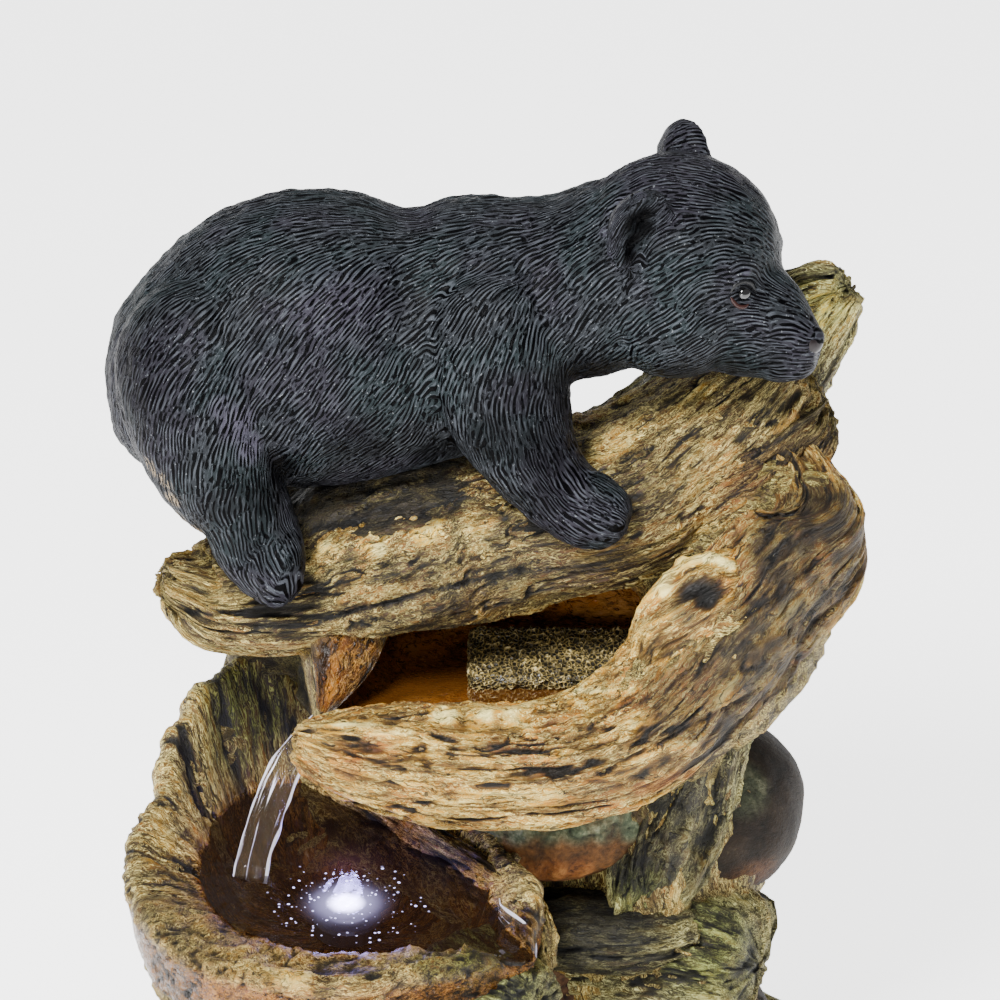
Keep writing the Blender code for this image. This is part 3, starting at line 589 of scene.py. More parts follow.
def build_log(
    name, stations, seed, material, sides=260, spacing=0.0019, square=2.0, up=UP, axis=None, ragged=0.0,
    relief=BARK_RELIEF, ridges=7, character=None, spots=(), forms=(), shape=None, twist=0.0,
):
    """A log: a lofted tube with domed, broken ends, the CAD's broad relief, and carved grain."""
    character = character or {}
    rows, along = evenly(stations, spacing)
    centres = rows[:, :3]
    tangent = unit(np.gradient(centres, axis=0))
    if axis is not None:
        tangent = np.tile(axis, (len(rows), 1))
    across = unit(np.cross(tangent, up))
    lift = unit(np.cross(across, tangent))
    angle = np.linspace(0, TAU, sides, endpoint=False)
    c, s = np.cos(angle), np.sin(angle)
    power = 2 / square
    side_w = np.sign(c) * np.abs(c) ** power
    side_h = np.sign(s) * np.abs(s) ** power
    out = (
        across[:, None, :] * (side_w[None, :] * rows[:, 3:4])[..., None]
        + lift[:, None, :] * (side_h[None, :] * rows[:, 4:5])[..., None]
    )
    reach = np.linalg.norm(out, axis=2)
    turn = np.tile(angle, (len(rows), 1))
    way = np.tile(along[:, None], (1, sides))
    if relief:
        fade = np.minimum(1, reach / 0.012)
        lift_by = bark_relief(seed, relief, ridges)(turn, way) * fade
        out *= ((reach + lift_by) / np.maximum(reach, 1e-6))[..., None]
    span = 0.030
    to_end = np.minimum(way, along[-1] - way) / span
    fray_noise = np.array([noise.noise(Vector((x * 2.6, y * 2.6, seed * 3.1))) for x, y in zip(c, s)]) * 2
    fray_way = np.where(way * 2 > along[-1], 1, -1)
    fray = 0.55 * ragged * np.clip(1 - to_end, 0, 1) * fray_way * fray_noise[None, :]
    grid = centres[:, None, :] + out + tangent[:, None, :] * fray[..., None]
    nominal = float(np.mean(reach))
    shares = np.array((0.93, 0.84, 0.72, 0.58, 0.43, 0.28, 0.14, 0.03))
    caps = []
    for end, direction in ((0, -1), (-1, 1)):
        ring = grid[end]
        middle = ring.mean(axis=0)
        rise = np.linalg.norm(ring - middle, axis=1).mean() * 0.34
        for share in shares:
            bulge = tangent[end] * direction * rise * math.sqrt(1 - share ** 2)
            caps.append(middle + (ring - middle) * share + bulge)
    half = len(shares)
    grid = np.concatenate((np.array(caps[:half])[::-1], grid, np.array(caps[half:])))
    turn = np.vstack((np.tile(angle, (half, 1)), turn, np.tile(angle, (half, 1))))
    ways = np.concatenate((-rise * (1 - shares[::-1]), along, along[-1] + rise * (1 - shares)))
    shrink = np.concatenate((shares[::-1], np.ones(len(along)), shares))
    middles = grid.mean(axis=1)
    turned = turn + twist * ways[:, None]
    grain = np.stack((
        nominal * np.cos(turned) * shrink[:, None],
        nominal * np.sin(turned) * shrink[:, None],
        np.tile(ways[:, None], (1, sides)),
    ), axis=-1).reshape(-1, 3) + (seed * 0.37, 0, 0)
    normal = grid_normals(grid, middles)
    depth, value = wood_relief(grain, seed * 31, character)
    points = (grid + normal * depth.reshape(turn.shape)[..., None]).reshape(-1, 3)
    faces = grid_faces(len(grid), sides)
    if forms:
        high, low = rise_of(points, faces, forms)
        points = points + normal.reshape(-1, 3) * (high + low)[:, None]
        value = np.clip(value + high * 40 + low * 150, 0, 1)
    if shape:
        points = shape(points)
    made = new_mesh_object(name, points, faces, grain=grain, relief=value)
    return dress(made, points, spots, material)


def dress(made, points, spots, material):
    """Adds the tint and wet layers and hands the piece over."""
    masks = spot_masks(points, spots, tree_of(made)) if spots else np.zeros((len(points), 5))
    mesh = made.data
    mesh.attributes.new("tint", "FLOAT_COLOR", "POINT").data.foreach_set(
        "color", masks[:, :4].astype(np.float32).ravel()
    )
    mesh.attributes.new("wet", "FLOAT", "POINT").data.foreach_set("value", masks[:, 4].astype(np.float32))
    return finish_piece(made, material, "fountain_body")


def clear_of_trough(points):
    """Lifts what hangs into the trough to the height that the CAD's hollow is cut to."""
    plan = points[:, :2] - TROUGH_CENTRE
    angle = np.degrees(np.arctan2(plan[:, 1], plan[:, 0])) % 360
    edge = np.interp(angle, *zip(*TROUGH_PLAN, (360, TROUGH_PLAN[0][1])))
    inside = 1 - ease_between(np.linalg.norm(plan, axis=1) / edge, 0.94, 1.03)
    roof = TROUGH_TOP + 0.0012 * layered_noise(points / 0.012, 5, 2)
    lifted = points.copy()
    lifted[:, 2] = np.where(points[:, 2] < roof, points[:, 2] + (roof - points[:, 2]) * inside, points[:, 2])
    return lifted


TROUGH_PLAN = [
    (0, 0.080), (25, 0.078), (60, 0.058), (90, 0.054), (130, 0.062), (160, 0.078), (180, 0.086),
    (200, 0.104), (213, 0.124), (222, 0.092), (245, 0.058), (270, 0.054), (300, 0.058), (335, 0.072),
]


# Pixels of the insect holes in the wing's tip
WING_PITS = [(804, 303), (816, 300), (832, 302), (826, 314), (815, 312), (808, 318)]


def make_logs():
    golden = wood_material(
        "golden wood", paint(24, 16, 5), paint(112, 76, 15), paint(200, 146, 32), paint(250, 232, 146),
        lean=0.0
    )
    brown = wood_material(
        "brown wood", paint(18, 13, 5), paint(80, 57, 14), paint(152, 114, 30), paint(246, 228, 144),
        lean=-0.13
    )
    grey = wood_material(
        "weathered wood", paint(17, 15, 9), paint(70, 62, 28), paint(134, 120, 54), paint(232, 226, 156),
        lean=-0.12
    )
    build_log(
        "top_log",
        [
            (-0.166, -0.014, 0.334, 0.018, 0.009),
            (-0.159, -0.014, 0.330, 0.025, 0.013),
            (-0.150, -0.012, 0.322, 0.033, 0.023),
            (-0.125, -0.004, 0.323, 0.046, 0.029),
            (-0.095, 0.010, 0.328, 0.060, 0.035),
            (-0.055, 0.018, 0.337, 0.068, 0.039),
            (-0.015, 0.020, 0.347, 0.070, 0.041),
            (0.020, 0.014, 0.357, 0.066, 0.040),
            (0.055, 0.006, 0.367, 0.056, 0.038),
            (0.090, 0.012, 0.384, 0.046, 0.038),
            (0.125, 0.022, 0.406, 0.036, 0.036),
            (0.145, 0.028, 0.424, 0.024, 0.028),
        ],
        1, brown, sides=280, spacing=0.0023, square=2.2, ragged=0.007, shape=clear_of_trough,
        spots=[
            # under the bear's belly the darkening is dark paint and painted shade
            (300, 500, 34, "shade_and_dark_paint", 0.9), (345, 490, 32, "shade_and_dark_paint", 0.95), (395, 485, 30, "shade_and_dark_paint", 0.95),
            (440, 500, 22, "shade_and_dark_paint", 0.9), (290, 545, 20, "shade_and_dark_paint", 0.6), (560, 455, 26, "shade_and_dark_paint", 0.5),
            (400, 640, 20, "wet", 0.4), (480, 610, 20, "wet", 0.4), (600, 560, 26, "wet", 0.3),
            (200, 600, 24, "pale", 0.15), (370, 545, 13, "pale", 0.9), (430, 530, 13, "pale", 0.7),
            (330, 550, 10, "pale", 0.7), (420, 600, 40, "shade_and_dark_paint", 0.4), (540, 570, 40, "shade_and_dark_paint", 0.5),
            (640, 500, 34, "shade_and_dark_paint", 0.45), (600, 540, 26, "shade_and_dark_paint", 0.5),
            (480, 520, 12, "pale", 0.5), (620, 440, 16, "pale", 0.3),
            *line_of((190, 612), (330, 618), 2.0, "shade_and_dark_paint", 0.8),
            *line_of((330, 618), (520, 570), 2.0, "shade_and_dark_paint", 0.7),
        ],
        forms=[
            *line_of((190, 612), (330, 618), 2.6, -2.6), *line_of((330, 618), (520, 570), 2.6, -2.4),
            *line_of((200, 585), (300, 590), 3.4, 1.6), *line_of((330, 548), (470, 524), 7.0, 1.8),
        ],
    )
    build_log(
        "log_keel",
        [
            (-0.120, -0.004, 0.334, 0.026, 0.014),
            (-0.090, 0.006, 0.346, 0.036, 0.024),
            (-0.050, 0.008, 0.360, 0.042, 0.026),
            (-0.010, 0.008, 0.368, 0.042, 0.024),
            (0.030, 0.004, 0.374, 0.034, 0.020),
        ],
        2, brown, sides=120, spacing=0.003, relief=BARK_RELIEF * 0.6,
        # darkened under the bear's belly: dark paint and painted shade
        spots=[(330, 495, 60, "shade_and_dark_paint", 1.0), (400, 485, 60, "shade_and_dark_paint", 1.0), (290, 510, 30, "shade_and_dark_paint", 0.8)],
    )
    build_log(
        "back_wing",
        [
            (0.010, 0.040, 0.352, 0.026, 0.022),
            (0.045, 0.042, 0.365, 0.026, 0.027),
            (0.080, 0.044, 0.383, 0.025, 0.032),
            (0.110, 0.046, 0.404, 0.023, 0.036),
            (0.133, 0.047, 0.426, 0.021, 0.036),
            (0.150, 0.045, 0.446, 0.018, 0.030),
            (0.162, 0.043, 0.459, 0.014, 0.022),
            (0.170, 0.042, 0.465, 0.009, 0.013),
        ],
        3, grey, sides=220, spacing=0.0021, square=2.6, ragged=0.008, character={"depth": 1.1},
        spots=[
            # the darkening spots are painted shade in the bear's shadow, and dark insect holes
            (600, 420, 24, "shade_and_dark_paint", 0.7), (820, 300, 22, "moss", 0.4), (820, 310, 20, "pale", 0.5),
            (700, 400, 30, "moss", 0.3),
            (700, 420, 34, "shade_and_dark_paint", 0.4), (780, 390, 30, "shade_and_dark_paint", 0.4),
            *((*pit, 1.3, "shade_and_dark_paint", 1.0) for pit in WING_PITS),
        ],
    )
    build_log(
        "wing_shelf",
        [
            (0.030, 0.010, 0.342, 0.034, 0.014),
            (0.075, 0.004, 0.356, 0.040, 0.020),
            (0.118, 0.006, 0.380, 0.036, 0.026),
            (0.148, 0.014, 0.402, 0.024, 0.020),
            (0.160, 0.020, 0.412, 0.012, 0.010),
        ],
        4, brown, sides=210, spacing=0.0022, square=2.4, ragged=0.005, character={"depth": 1.1},
        spots=[(820, 480, 30, "rust", 0.5), (760, 470, 30, "rust", 0.4), (790, 470, 50, "shade_and_dark_paint", 0.6)],
    )
    build_log(
        "rim_log",
        [
            (-0.096, -0.086, 0.280, 0.012, 0.013),
            (-0.076, -0.092, 0.278, 0.024, 0.022),
            (-0.040, -0.096, 0.275, 0.031, 0.027),
            (0.000, -0.098, 0.273, 0.033, 0.028),
            (0.036, -0.095, 0.276, 0.033, 0.029),
            (0.070, -0.087, 0.288, 0.033, 0.031),
            (0.100, -0.072, 0.313, 0.033, 0.034),
            (0.128, -0.052, 0.341, 0.032, 0.036),
            (0.151, -0.031, 0.362, 0.030, 0.034),
            (0.147, -0.012, 0.380, 0.023, 0.024),
            (0.136, 0.002, 0.394, 0.015, 0.016),
        ],
        5, golden, sides=240, spacing=0.0020, square=2.3, ragged=0.004,
        spots=[
            *line_of((643, 788), (720, 764), 7.0, "rust", 0.7), (345, 762, 13, "rust", 0.5),
            (380, 745, 13, "rust", 0.35),
            (445, 713, 9, "pale", 1.0), (480, 722, 9, "pale", 0.8), (520, 728, 12, "pale", 0.5),
            (345, 722, 9, "pale", 0.5),
            *line_of((378, 684), (520, 691), 3.2, "pale", 0.9),
            *line_of((520, 691), (640, 690), 3.0, "pale", 0.7),
            *line_of((452, 748), (500, 745), 2.2, "shade_and_dark_paint", 0.6),
            *line_of((500, 745), (548, 754), 2.2, "shade_and_dark_paint", 0.6),
            
            # painted shade: the rim log's right side is darkened where it turns away from the light
            (700, 695, 40, "shade_and_dark_paint", 0.75), (780, 650, 56, "shade_and_dark_paint", 0.9), (820, 550, 56, "shade_and_dark_paint", 0.9),
            (735, 640, 40, "shade_and_dark_paint", 0.7),
            (750, 720, 40, "shade_and_dark_paint", 0.85), (600, 790, 30, "shade_and_dark_paint", 0.3),
        ],
        forms=[
            *line_of((432, 714), (620, 724), 10.0, 2.8), (445, 714, 7, 3.4),
            *line_of((452, 748), (548, 752), 3.2, -2.0),
            *line_of((430, 700), (418, 738), 4.4, -1.6), *line_of((418, 738), (429, 775), 4.4, -1.6),
            *line_of((350, 756), (404, 770), 2.4, -2.0),
            *line_of((600, 775), (760, 690), 2.6, -2.0), *line_of((640, 700), (820, 560), 2.4, -1.8),
        ],
    )
    build_log(
        "rim_burl",
        [
            (0.076, -0.070, 0.318, 0.018, 0.014),
            (0.088, -0.072, 0.340, 0.022, 0.020),
            (0.100, -0.068, 0.352, 0.022, 0.018),
            (0.122, -0.058, 0.356, 0.016, 0.014),
        ],
        6, golden, sides=150, relief=BARK_RELIEF * 0.5, spacing=0.0016,
        spots=[
            (690, 592, 11, "shade_and_dark_paint", 0.6), (703, 592, 12, "shade_and_dark_paint", 0.8), (712, 588, 9, "shade_and_dark_paint", 0.6),
            (684, 612, 10, "shade_and_dark_paint", 0.7),
            *line_of((664, 590), (672, 566), 4.0, "pale", 1.0),
            *line_of((672, 566), (700, 552), 4.0, "pale", 1.0),
            *line_of((700, 552), (732, 566), 3.6, "pale", 1.0),
            *line_of((732, 566), (766, 566), 3.4, "pale", 0.9),
            *line_of((740, 600), (756, 580), 5.0, "pale", 0.5), (726, 585, 7, "rust", 0.5),
        ],
        forms=[
            *line_of((664, 590), (672, 566), 5.0, 2.6), *line_of((672, 566), (700, 552), 5.0, 2.6),
            *line_of((700, 552), (732, 566), 4.6, 2.2), (690, 590, 11.0, -2.6), (704, 592, 12.0, -4.0),
            (714, 588, 10.0, -3.0),
        ],
    )
    build_log(
        "spout_fin",
        [
            (-0.090, 0.018, 0.300, 0.014, 0.020),
            (-0.092, -0.014, 0.292, 0.009, 0.022),
            (-0.090, -0.044, 0.282, 0.006, 0.016),
            (-0.088, -0.058, 0.272, 0.004, 0.010),
        ],
        9, brown, sides=90, spacing=0.002, relief=BARK_RELIEF * 0.3, character={"depth": 0.5, "size": 0.7},
        spots=[(340, 675, 30, "wet", 0.8)],
    )
    build_log(
        "spout_leaf",
        [
            (-0.0743, -0.036, 0.322, 0.021, 0.0040),
            (-0.0780, -0.046, 0.306, 0.017, 0.0040),
            (-0.0830, -0.055, 0.293, 0.010, 0.0035),
            (-0.0880, -0.060, 0.283, 0.004, 0.0030),
        ],
        10, brown, sides=80, spacing=0.0013, relief=0.0, up=FRONT, character={"depth": 0.24, "size": 1.4},
        spots=[
            (330, 680, 24, "wet", 0.9), (350, 665, 30, "wet", 0.9), (340, 660, 30, "shade_and_dark_paint", 0.3),
            (335, 690, 8, "pale", 0.4),
        ],
    )
    build_log(
        "prop_slab",
        [
            (0.099, -0.020, 0.276, 0.034, 0.018),
            (0.095, -0.032, 0.242, 0.031, 0.017),
            (0.087, -0.046, 0.212, 0.029, 0.015),
            (0.078, -0.058, 0.188, 0.026, 0.013),
            (0.072, -0.064, 0.172, 0.018, 0.009),
        ],
        12, grey, sides=200, spacing=0.0017, square=2.5, ragged=0.010, up=np.array((0.45, -0.9, 0.2)),
        character={"depth": 1.2},
        spots=[
            (655, 810, 30, "shade_and_dark_paint", 0.9), (650, 860, 30, "shade_and_dark_paint", 0.85), (690, 790, 30, "shade_and_dark_paint", 0.8),
            (690, 860, 30, "shade_and_dark_paint", 0.6), (640, 890, 20, "moss", 0.7), (705, 856, 8, "pale", 0.8),
        ],
    )
    build_log(
        "stub_log",
        [
            (0.010, -0.006, 0.138, 0.050, 0.038),
            (0.056, -0.028, 0.136, 0.050, 0.040),
            (0.100, -0.046, 0.134, 0.046, 0.038),
            (0.122, -0.054, 0.132, 0.040, 0.033),
        ],
        13, grey, sides=210, spacing=0.0019, square=2.3, ragged=0.006, relief=BARK_RELIEF * 1.4,
        character={"depth": 1.1},
        spots=[(700, 940, 40, "moss", 0.7), (740, 960, 30, "moss", 0.5), (720, 985, 20, "pale", 0.5)],
    )
    ledge_z = LEDGE_TOP - 0.018
    build_log(
        "ledge_rock",
        [
            (LEDGE_CENTRE[0] - 0.046, LEDGE_CENTRE[1] + 0.010, ledge_z - 0.003, 0.030, 0.014),
            (LEDGE_CENTRE[0] - 0.022, LEDGE_CENTRE[1] + 0.008, ledge_z + 0.001, 0.036, 0.018),
            (LEDGE_CENTRE[0] + 0.012, LEDGE_CENTRE[1] + 0.006, ledge_z + 0.001, 0.036, 0.018),
            (LEDGE_CENTRE[0] + 0.040, LEDGE_CENTRE[1] + 0.010, ledge_z - 0.001, 0.028, 0.014),
        ],
        14, grey, sides=160, spacing=0.0026, relief=BARK_RELIEF * 0.8,
        spots=[(590, 900, 60, "shade_and_dark_paint", 1.0)],
    )
    return brown, grey


# Log bowl

BOWL_PLAN = [
    (0, 0.070, 0.084, 0.014),
    (22, 0.056, 0.070, 0.014),
    (48, 0.053, 0.067, 0.014),
    (75, 0.064, 0.080, 0.015),
    (97, 0.090, 0.114, 0.033),
    (113, 0.096, 0.134, 0.061),
    (128, 0.092, 0.128, 0.055),
    (139, 0.087, 0.118, 0.045),
    (159, 0.076, 0.105, 0.025),
    (180, 0.072, 0.109, 0.016),
    (205, 0.071, 0.110, 0.012),
    (235, 0.070, 0.112, 0.008),
    (270, 0.070, 0.112, 0.007),
    (295, 0.074, 0.108, 0.009),
    (308, 0.092, 0.112, 0.008),
    (320, 0.122, 0.116, -0.003),
    (330, 0.092, 0.112, 0.010),
    (342, 0.076, 0.102, 0.015),
    (360, 0.070, 0.084, 0.014),
]


def bowl_column(column, angle):
    """A column of the bowl's plan at each angle, eased between its rows."""
    turns = np.array([row[0] for row in BOWL_PLAN], float)
    values = np.array([row[column] for row in BOWL_PLAN])
    degrees = np.degrees(angle) % 360
    index = np.clip(np.searchsorted(turns, degrees, side="right") - 1, 0, len(turns) - 2)
    share = (degrees - turns[index]) / (turns[index + 1] - turns[index])
    ease = share * share * (3 - 2 * share)
    return values[index] + (values[index + 1] - values[index]) * ease


def build_bowl(material):
    """The bowl's outside, crest, inner wall and floor as one turned skin."""
    sides = 316
    angle = np.linspace(0, TAU, sides, endpoint=False)
    inner, crest_radius, crest = (bowl_column(column, angle) for column in (1, 2, 3))
    crest_height = BOWL_WATER + crest
    skirt = 0.150
    c, s = np.cos(angle), np.sin(angle)

    def ring(radius, height, lean=True):
        height = np.broadcast_to(height, angle.shape)
        share = np.clip(height / skirt, 0, 1) if lean else np.ones_like(height)
        middle = BOWL_FOOT[None, :] * (1 - share[:, None]) + BOWL_CENTRE[None, :] * share[:, None]
        return np.stack((middle[:, 0] + radius * c, middle[:, 1] + radius * s, height), axis=1)

    stump = ((0.004, 0.83), (0.045, 0.80), (0.10, 0.79))
    rings = [ring(crest_radius * share, height) for height, share in stump]
    rings.append(ring(crest_radius * 0.83, skirt))
    for rise, share in ((0.35, 0.92), (0.68, 0.98), (0.90, 1.01), (0.98, 0.985)):
        rings.append(ring(crest_radius * share, skirt + (crest_height - skirt) * rise))
    rings.append(ring(crest_radius * 0.945, crest_height + 0.0004))
    wall = np.maximum(crest_radius * 0.90, inner)
    rings.append(ring(wall, crest_height - 0.001))
    rings.append(ring(inner + (wall - inner) * 0.45, BOWL_WATER + crest * 0.45))
    rings.append(ring(inner, BOWL_WATER - 0.001))
    depth = BOWL_WATER - BOWL_FLOOR
    for rise, share in ((0.68, 0.95), (0.35, 0.88), (0.12, 0.80), (0.0, 0.70), (0.0, 0.40), (0.0, 0.02)):
        rings.append(ring(inner * share, BOWL_FLOOR + depth * rise))
    profile = np.array(rings)
    flat = curve_through(profile.reshape(len(rings), -1), 30).reshape(-1, sides, 3)
    reach = np.concatenate((
        [0], np.cumsum(np.linalg.norm(np.diff(flat, axis=0), axis=2).mean(axis=1))
    ))
    at = np.linspace(0, reach[-1], 150)
    flat = flat.reshape(len(flat), -1)
    index = np.clip(np.searchsorted(reach, at) - 1, 0, len(reach) - 2)
    share = ((at - reach[index]) / (reach[index + 1] - reach[index]))[:, None]
    grid = (flat[index] * (1 - share) + flat[index + 1] * share).reshape(len(at), sides, 3)
    turn = np.tile(angle, (len(at), 1))
    way = np.tile(at[:, None], (1, sides))
    outward = np.stack((np.cos(turn), np.sin(turn), np.zeros_like(turn)), axis=-1)
    height = grid[..., 2]
    outside = 1 - ease_between(way, reach[-1] * 0.52, reach[-1] * 0.60)
    broad = bark_relief(15, BARK_RELIEF * 1.5, ridges=9)(turn, height) * (0.15 + 0.85 * outside)
    grid = grid + outward * broad[..., None]
    down = np.gradient(grid, axis=0)
    around = np.roll(grid, -1, axis=1) - np.roll(grid, 1, axis=1)
    normal = unit(np.cross(around, down))
    top = len(at) // 4
    if np.sum(normal[:top] * outward[:top]) < 0:
        normal = -normal
    radius = 0.085
    fall = np.stack((radius * np.cos(turn), radius * np.sin(turn), way), axis=-1).reshape(-1, 3)
    round_rim = np.stack((way, 0.2 * np.sin(turn), turn * 0.10), axis=-1).reshape(-1, 3)
    depth_fall, value_fall = wood_relief(fall, 600, {"depth": 1.25})
    depth_rim, value_rim = wood_relief(round_rim, 640, {"depth": 1.2})
    degrees = np.degrees(turn).ravel()
    lip = ease_between(degrees, 196, 216) * (1 - ease_between(degrees, 318, 334))
    lip = lip * ease_between(way.ravel(), reach[-1] * 0.2, reach[-1] * 0.3)
    depth = depth_fall * (1 - lip) + depth_rim * lip
    value = value_fall * (1 - lip) + value_rim * lip
    grain = np.where(lip[:, None] > 0.5, round_rim, fall)
    under = (1 - ease_between(height.ravel(), BOWL_WATER - 0.006, BOWL_WATER + 0.004)) * (
        way.ravel() > reach[-1] * 0.5
    )
    depth = depth * (1 - 0.6 * under)
    points = (grid + normal * depth.reshape(turn.shape)[..., None]).reshape(-1, 3)
    made = new_mesh_object("log_bowl", points, grid_faces(len(at), sides), grain=grain, relief=value)
    spots = [
        (245, 705, 34, "moss", 0.9), (225, 740, 26, "moss", 0.6), (290, 690, 20, "moss", 0.4),
        (250, 975, 40, "pale", 0.4), (480, 965, 24, "moss", 0.8), (440, 960, 20, "moss", 0.6),
        (480, 915, 26, "wet", 0.9), (510, 935, 20, "wet", 0.9),
        # the darkening spots are painted shade below the top log
        (250, 730, 40, "shade_and_dark_paint", 0.65), (220, 790, 34, "shade_and_dark_paint", 0.5), (290, 720, 34, "shade_and_dark_paint", 0.6),
        (340, 955, 24, "shade_and_dark_paint", 0.25),
    ]
    made = dress(made, points, spots, material)
    wet = np.zeros(len(points), np.float32)
    made.data.attributes["wet"].data.foreach_get("value", wet)
    soaked = under * 0.95 + 0.5 * (1 - ease_between(height.ravel(), BOWL_WATER, BOWL_WATER + 0.012)) * (
        way.ravel() > reach[-1] * 0.5
    )
    wet = np.clip(np.maximum(wet, soaked), 0, 1).astype(np.float32)
    made.data.attributes["wet"].data.foreach_set("value", wet)
    return made


def make_bowl_parts(brown, grey):
    build_bowl(brown)
    build_log(
        "bowl_plank",
        [
            (-0.098, 0.008, 0.188, 0.008, 0.032),
            (-0.060, -0.032, 0.188, 0.008, 0.030),
            (-0.022, -0.074, 0.188, 0.008, 0.028),
            (0.010, -0.110, 0.188, 0.008, 0.026),
            (0.022, -0.134, 0.186, 0.006, 0.020),
        ],
        16, brown, sides=130, spacing=0.0028, square=3.0, relief=BARK_RELIEF * 0.5,
        spots=[(400, 850, 30, "wet", 0.7), (470, 900, 30, "wet", 0.7), (340, 800, 30, "wet", 0.5)],
    )
    build_log(
        "bowl_spout",
        [
            (-0.020, -0.130, 0.176, 0.034, 0.022),
            (-0.002, -0.152, 0.176, 0.030, 0.021),
            (0.012, -0.168, 0.180, 0.022, 0.018),
        ],
        17, grey, sides=180, spacing=0.0016, relief=BARK_RELIEF * 0.5,
        spots=[(480, 960, 50, "moss", 0.7)],
    )


# Stones

def build_stone(name, centre, radii, bumps, seed, material, spots=(), rough=1.0, rows=84, sides=142):
    """A boulder with the CAD's broad lumps and a chipped skin."""
    polar = np.linspace(0.012, math.pi - 0.012, rows)
    angle = np.linspace(0, TAU, sides, endpoint=False)
    ball = np.stack((
        np.sin(polar)[:, None] * np.cos(angle)[None, :],
        np.sin(polar)[:, None] * np.sin(angle)[None, :],
        np.cos(polar)[:, None] * np.ones(sides)[None, :],
    ), axis=-1)
    flat = ball.reshape(-1, 3)
    shift = Vector((seed * 5.7, 0, 0))
    lump = np.array([1 + bumps * noise.noise(Vector(place) * 1.3 + shift) for place in flat])
    points = flat * np.array(radii) * lump[:, None] + np.array(centre)
    normal = unit(flat / np.array(radii))
    crags = layered_noise(points / (17 * MM), seed * 13, 4, 0.55)
    cracks = 1 - ease_between(np.abs(lattice_noise(points / (24 * MM), seed * 13 + 7)), 0.0, 0.06)
    grit = layered_noise(points / (3.2 * MM), seed * 13 + 9, 2)
    depth = (1.4 * crags - 1.3 * cracks * rough + 0.3 * grit) * rough * MM - 0.4 * MM
    value = np.clip(0.5 + 0.22 * crags - 0.35 * cracks * rough + 0.12 * grit, 0, 1)
    points = points + normal * depth[:, None]
    made = new_mesh_object(name, points, grid_faces(rows, sides), grain=points, relief=value)
    return dress(made, points, spots, material)


# Centre and radii of the boulders that the pillar's skin stays clear of
BACK_STONES = [
    ((0.074, 0.074, 0.044), (0.050, 0.052, 0.046)),
    ((-0.080, 0.070, 0.060), (0.062, 0.056, 0.056)),
]


def make_stones():
    rust = rock_material("rusty stone", [
        (0.10, paint(24, 16, 8)), (0.40, paint(70, 45, 19)), (0.70, paint(104, 66, 28)),
        (0.95, paint(146, 116, 70)),
    ])
    maroon = rock_material("maroon stone", [
        (0.10, paint(12, 9, 5)), (0.45, paint(30, 22, 14)), (0.75, paint(43, 33, 22)),
        (0.95, paint(70, 58, 40)),
    ], speckle=0.6)
    dark = rock_material("dark stone", [
        (0.10, paint(18, 16, 14)), (0.45, paint(58, 50, 42)), (0.75, paint(96, 82, 66)),
        (0.95, paint(146, 128, 104)),
    ])
    build_stone(
        "rust_stone", (0.024, -0.028, 0.214), (0.060, 0.056, 0.034), 0.12, 1, rust, rough=0.9,
        spots=[
            *line_of((490, 826), (634, 824), 13.0, "moss", 1.0),
            *line_of((490, 800), (634, 800), 20.0, "moss", 1.0),
            *line_of((500, 876), (630, 870), 12.0, "rust", 0.9),
        ],
    )
    build_stone(
        "round_stone", (0.109, 0.004, 0.192), (0.049, 0.050, 0.048), 0.08, 2, maroon, rough=0.35,
        spots=[(745, 790, 18, "moss", 0.4), (750, 880, 22, "rust", 0.25)],
    )
    build_stone(
        "back_stone_1", (0.010, -0.020, 0.120), (0.070, 0.056, 0.046), 0.25, 3, dark,
        spots=[(560, 980, 30, "rust", 0.4)], rows=56, sides=96,
    )
    build_stone(
        "back_stone_2", (0.090, -0.052, 0.070), (0.058, 0.056, 0.044), 0.22, 4, dark, rows=56, sides=96,
    )
    build_stone("back_stone_3", *BACK_STONES[0], 0.22, 5, maroon, rows=44, sides=76)
    build_stone("back_stone_4", *BACK_STONES[1], 0.22, 6, dark, rows=44, sides=76)
    build_stone(
        "basin_stone_0", (0.040, -0.128, 0.036), (0.040, 0.032, 0.030), 0.22, 7, rust, rows=44, sides=72,
    )
    return dark


def make_basin(brown, grey, dark):
    """The catch basin's ring of curved logs and the stones at their meetings."""
    log_count = 4
    for index in range(log_count):
        start = TAU * (index + 0.12) / log_count
        stations = []
        points = 7
        for point in range(points):
            share = point / (points - 1)
            angle = start + TAU / log_count * 0.98 * share
            swell = 1 - 0.22 * (2 * share - 1) ** 2
            height = BASIN_RIM_HEIGHT * (1 - 0.35 * max(0.0, math.sin(angle)))
            stations.append((
                BASIN_CENTRE[0] + BASIN_HALF[0] * math.cos(angle),
                BASIN_CENTRE[1] + BASIN_HALF[1] * math.sin(angle),
                height * (0.80 + 0.10 * math.sin(3 * index + 2 * share)),
                BASIN_RIM_WIDTH * swell,
                height * swell,
            ))
        build_log(
            f"basin_log_{index + 1}", stations, 20 + index, brown if index % 2 else grey, sides=96,
            spacing=0.0045,
            square=2.4, ragged=0.006, relief=BARK_RELIEF * 1.2, shape=level_underside,
        )
        meeting = start - 0.03
        build_stone(
            f"basin_stone_{index + 1}",
            (
                BASIN_CENTRE[0] + BASIN_HALF[0] * math.cos(meeting),
                BASIN_CENTRE[1] + BASIN_HALF[1] * math.sin(meeting),
                BASIN_RIM_HEIGHT * 0.75,
            ),
            (BASIN_RIM_WIDTH * 1.25, BASIN_RIM_WIDTH * 1.25, BASIN_RIM_HEIGHT * 0.95),
            0.25, 30 + index, dark, rows=36, sides=60,
        )


def level_underside(points):
    flat = points.copy()
    flat[:, 2] = np.maximum(flat[:, 2], 0.0)
    return flat


# Core

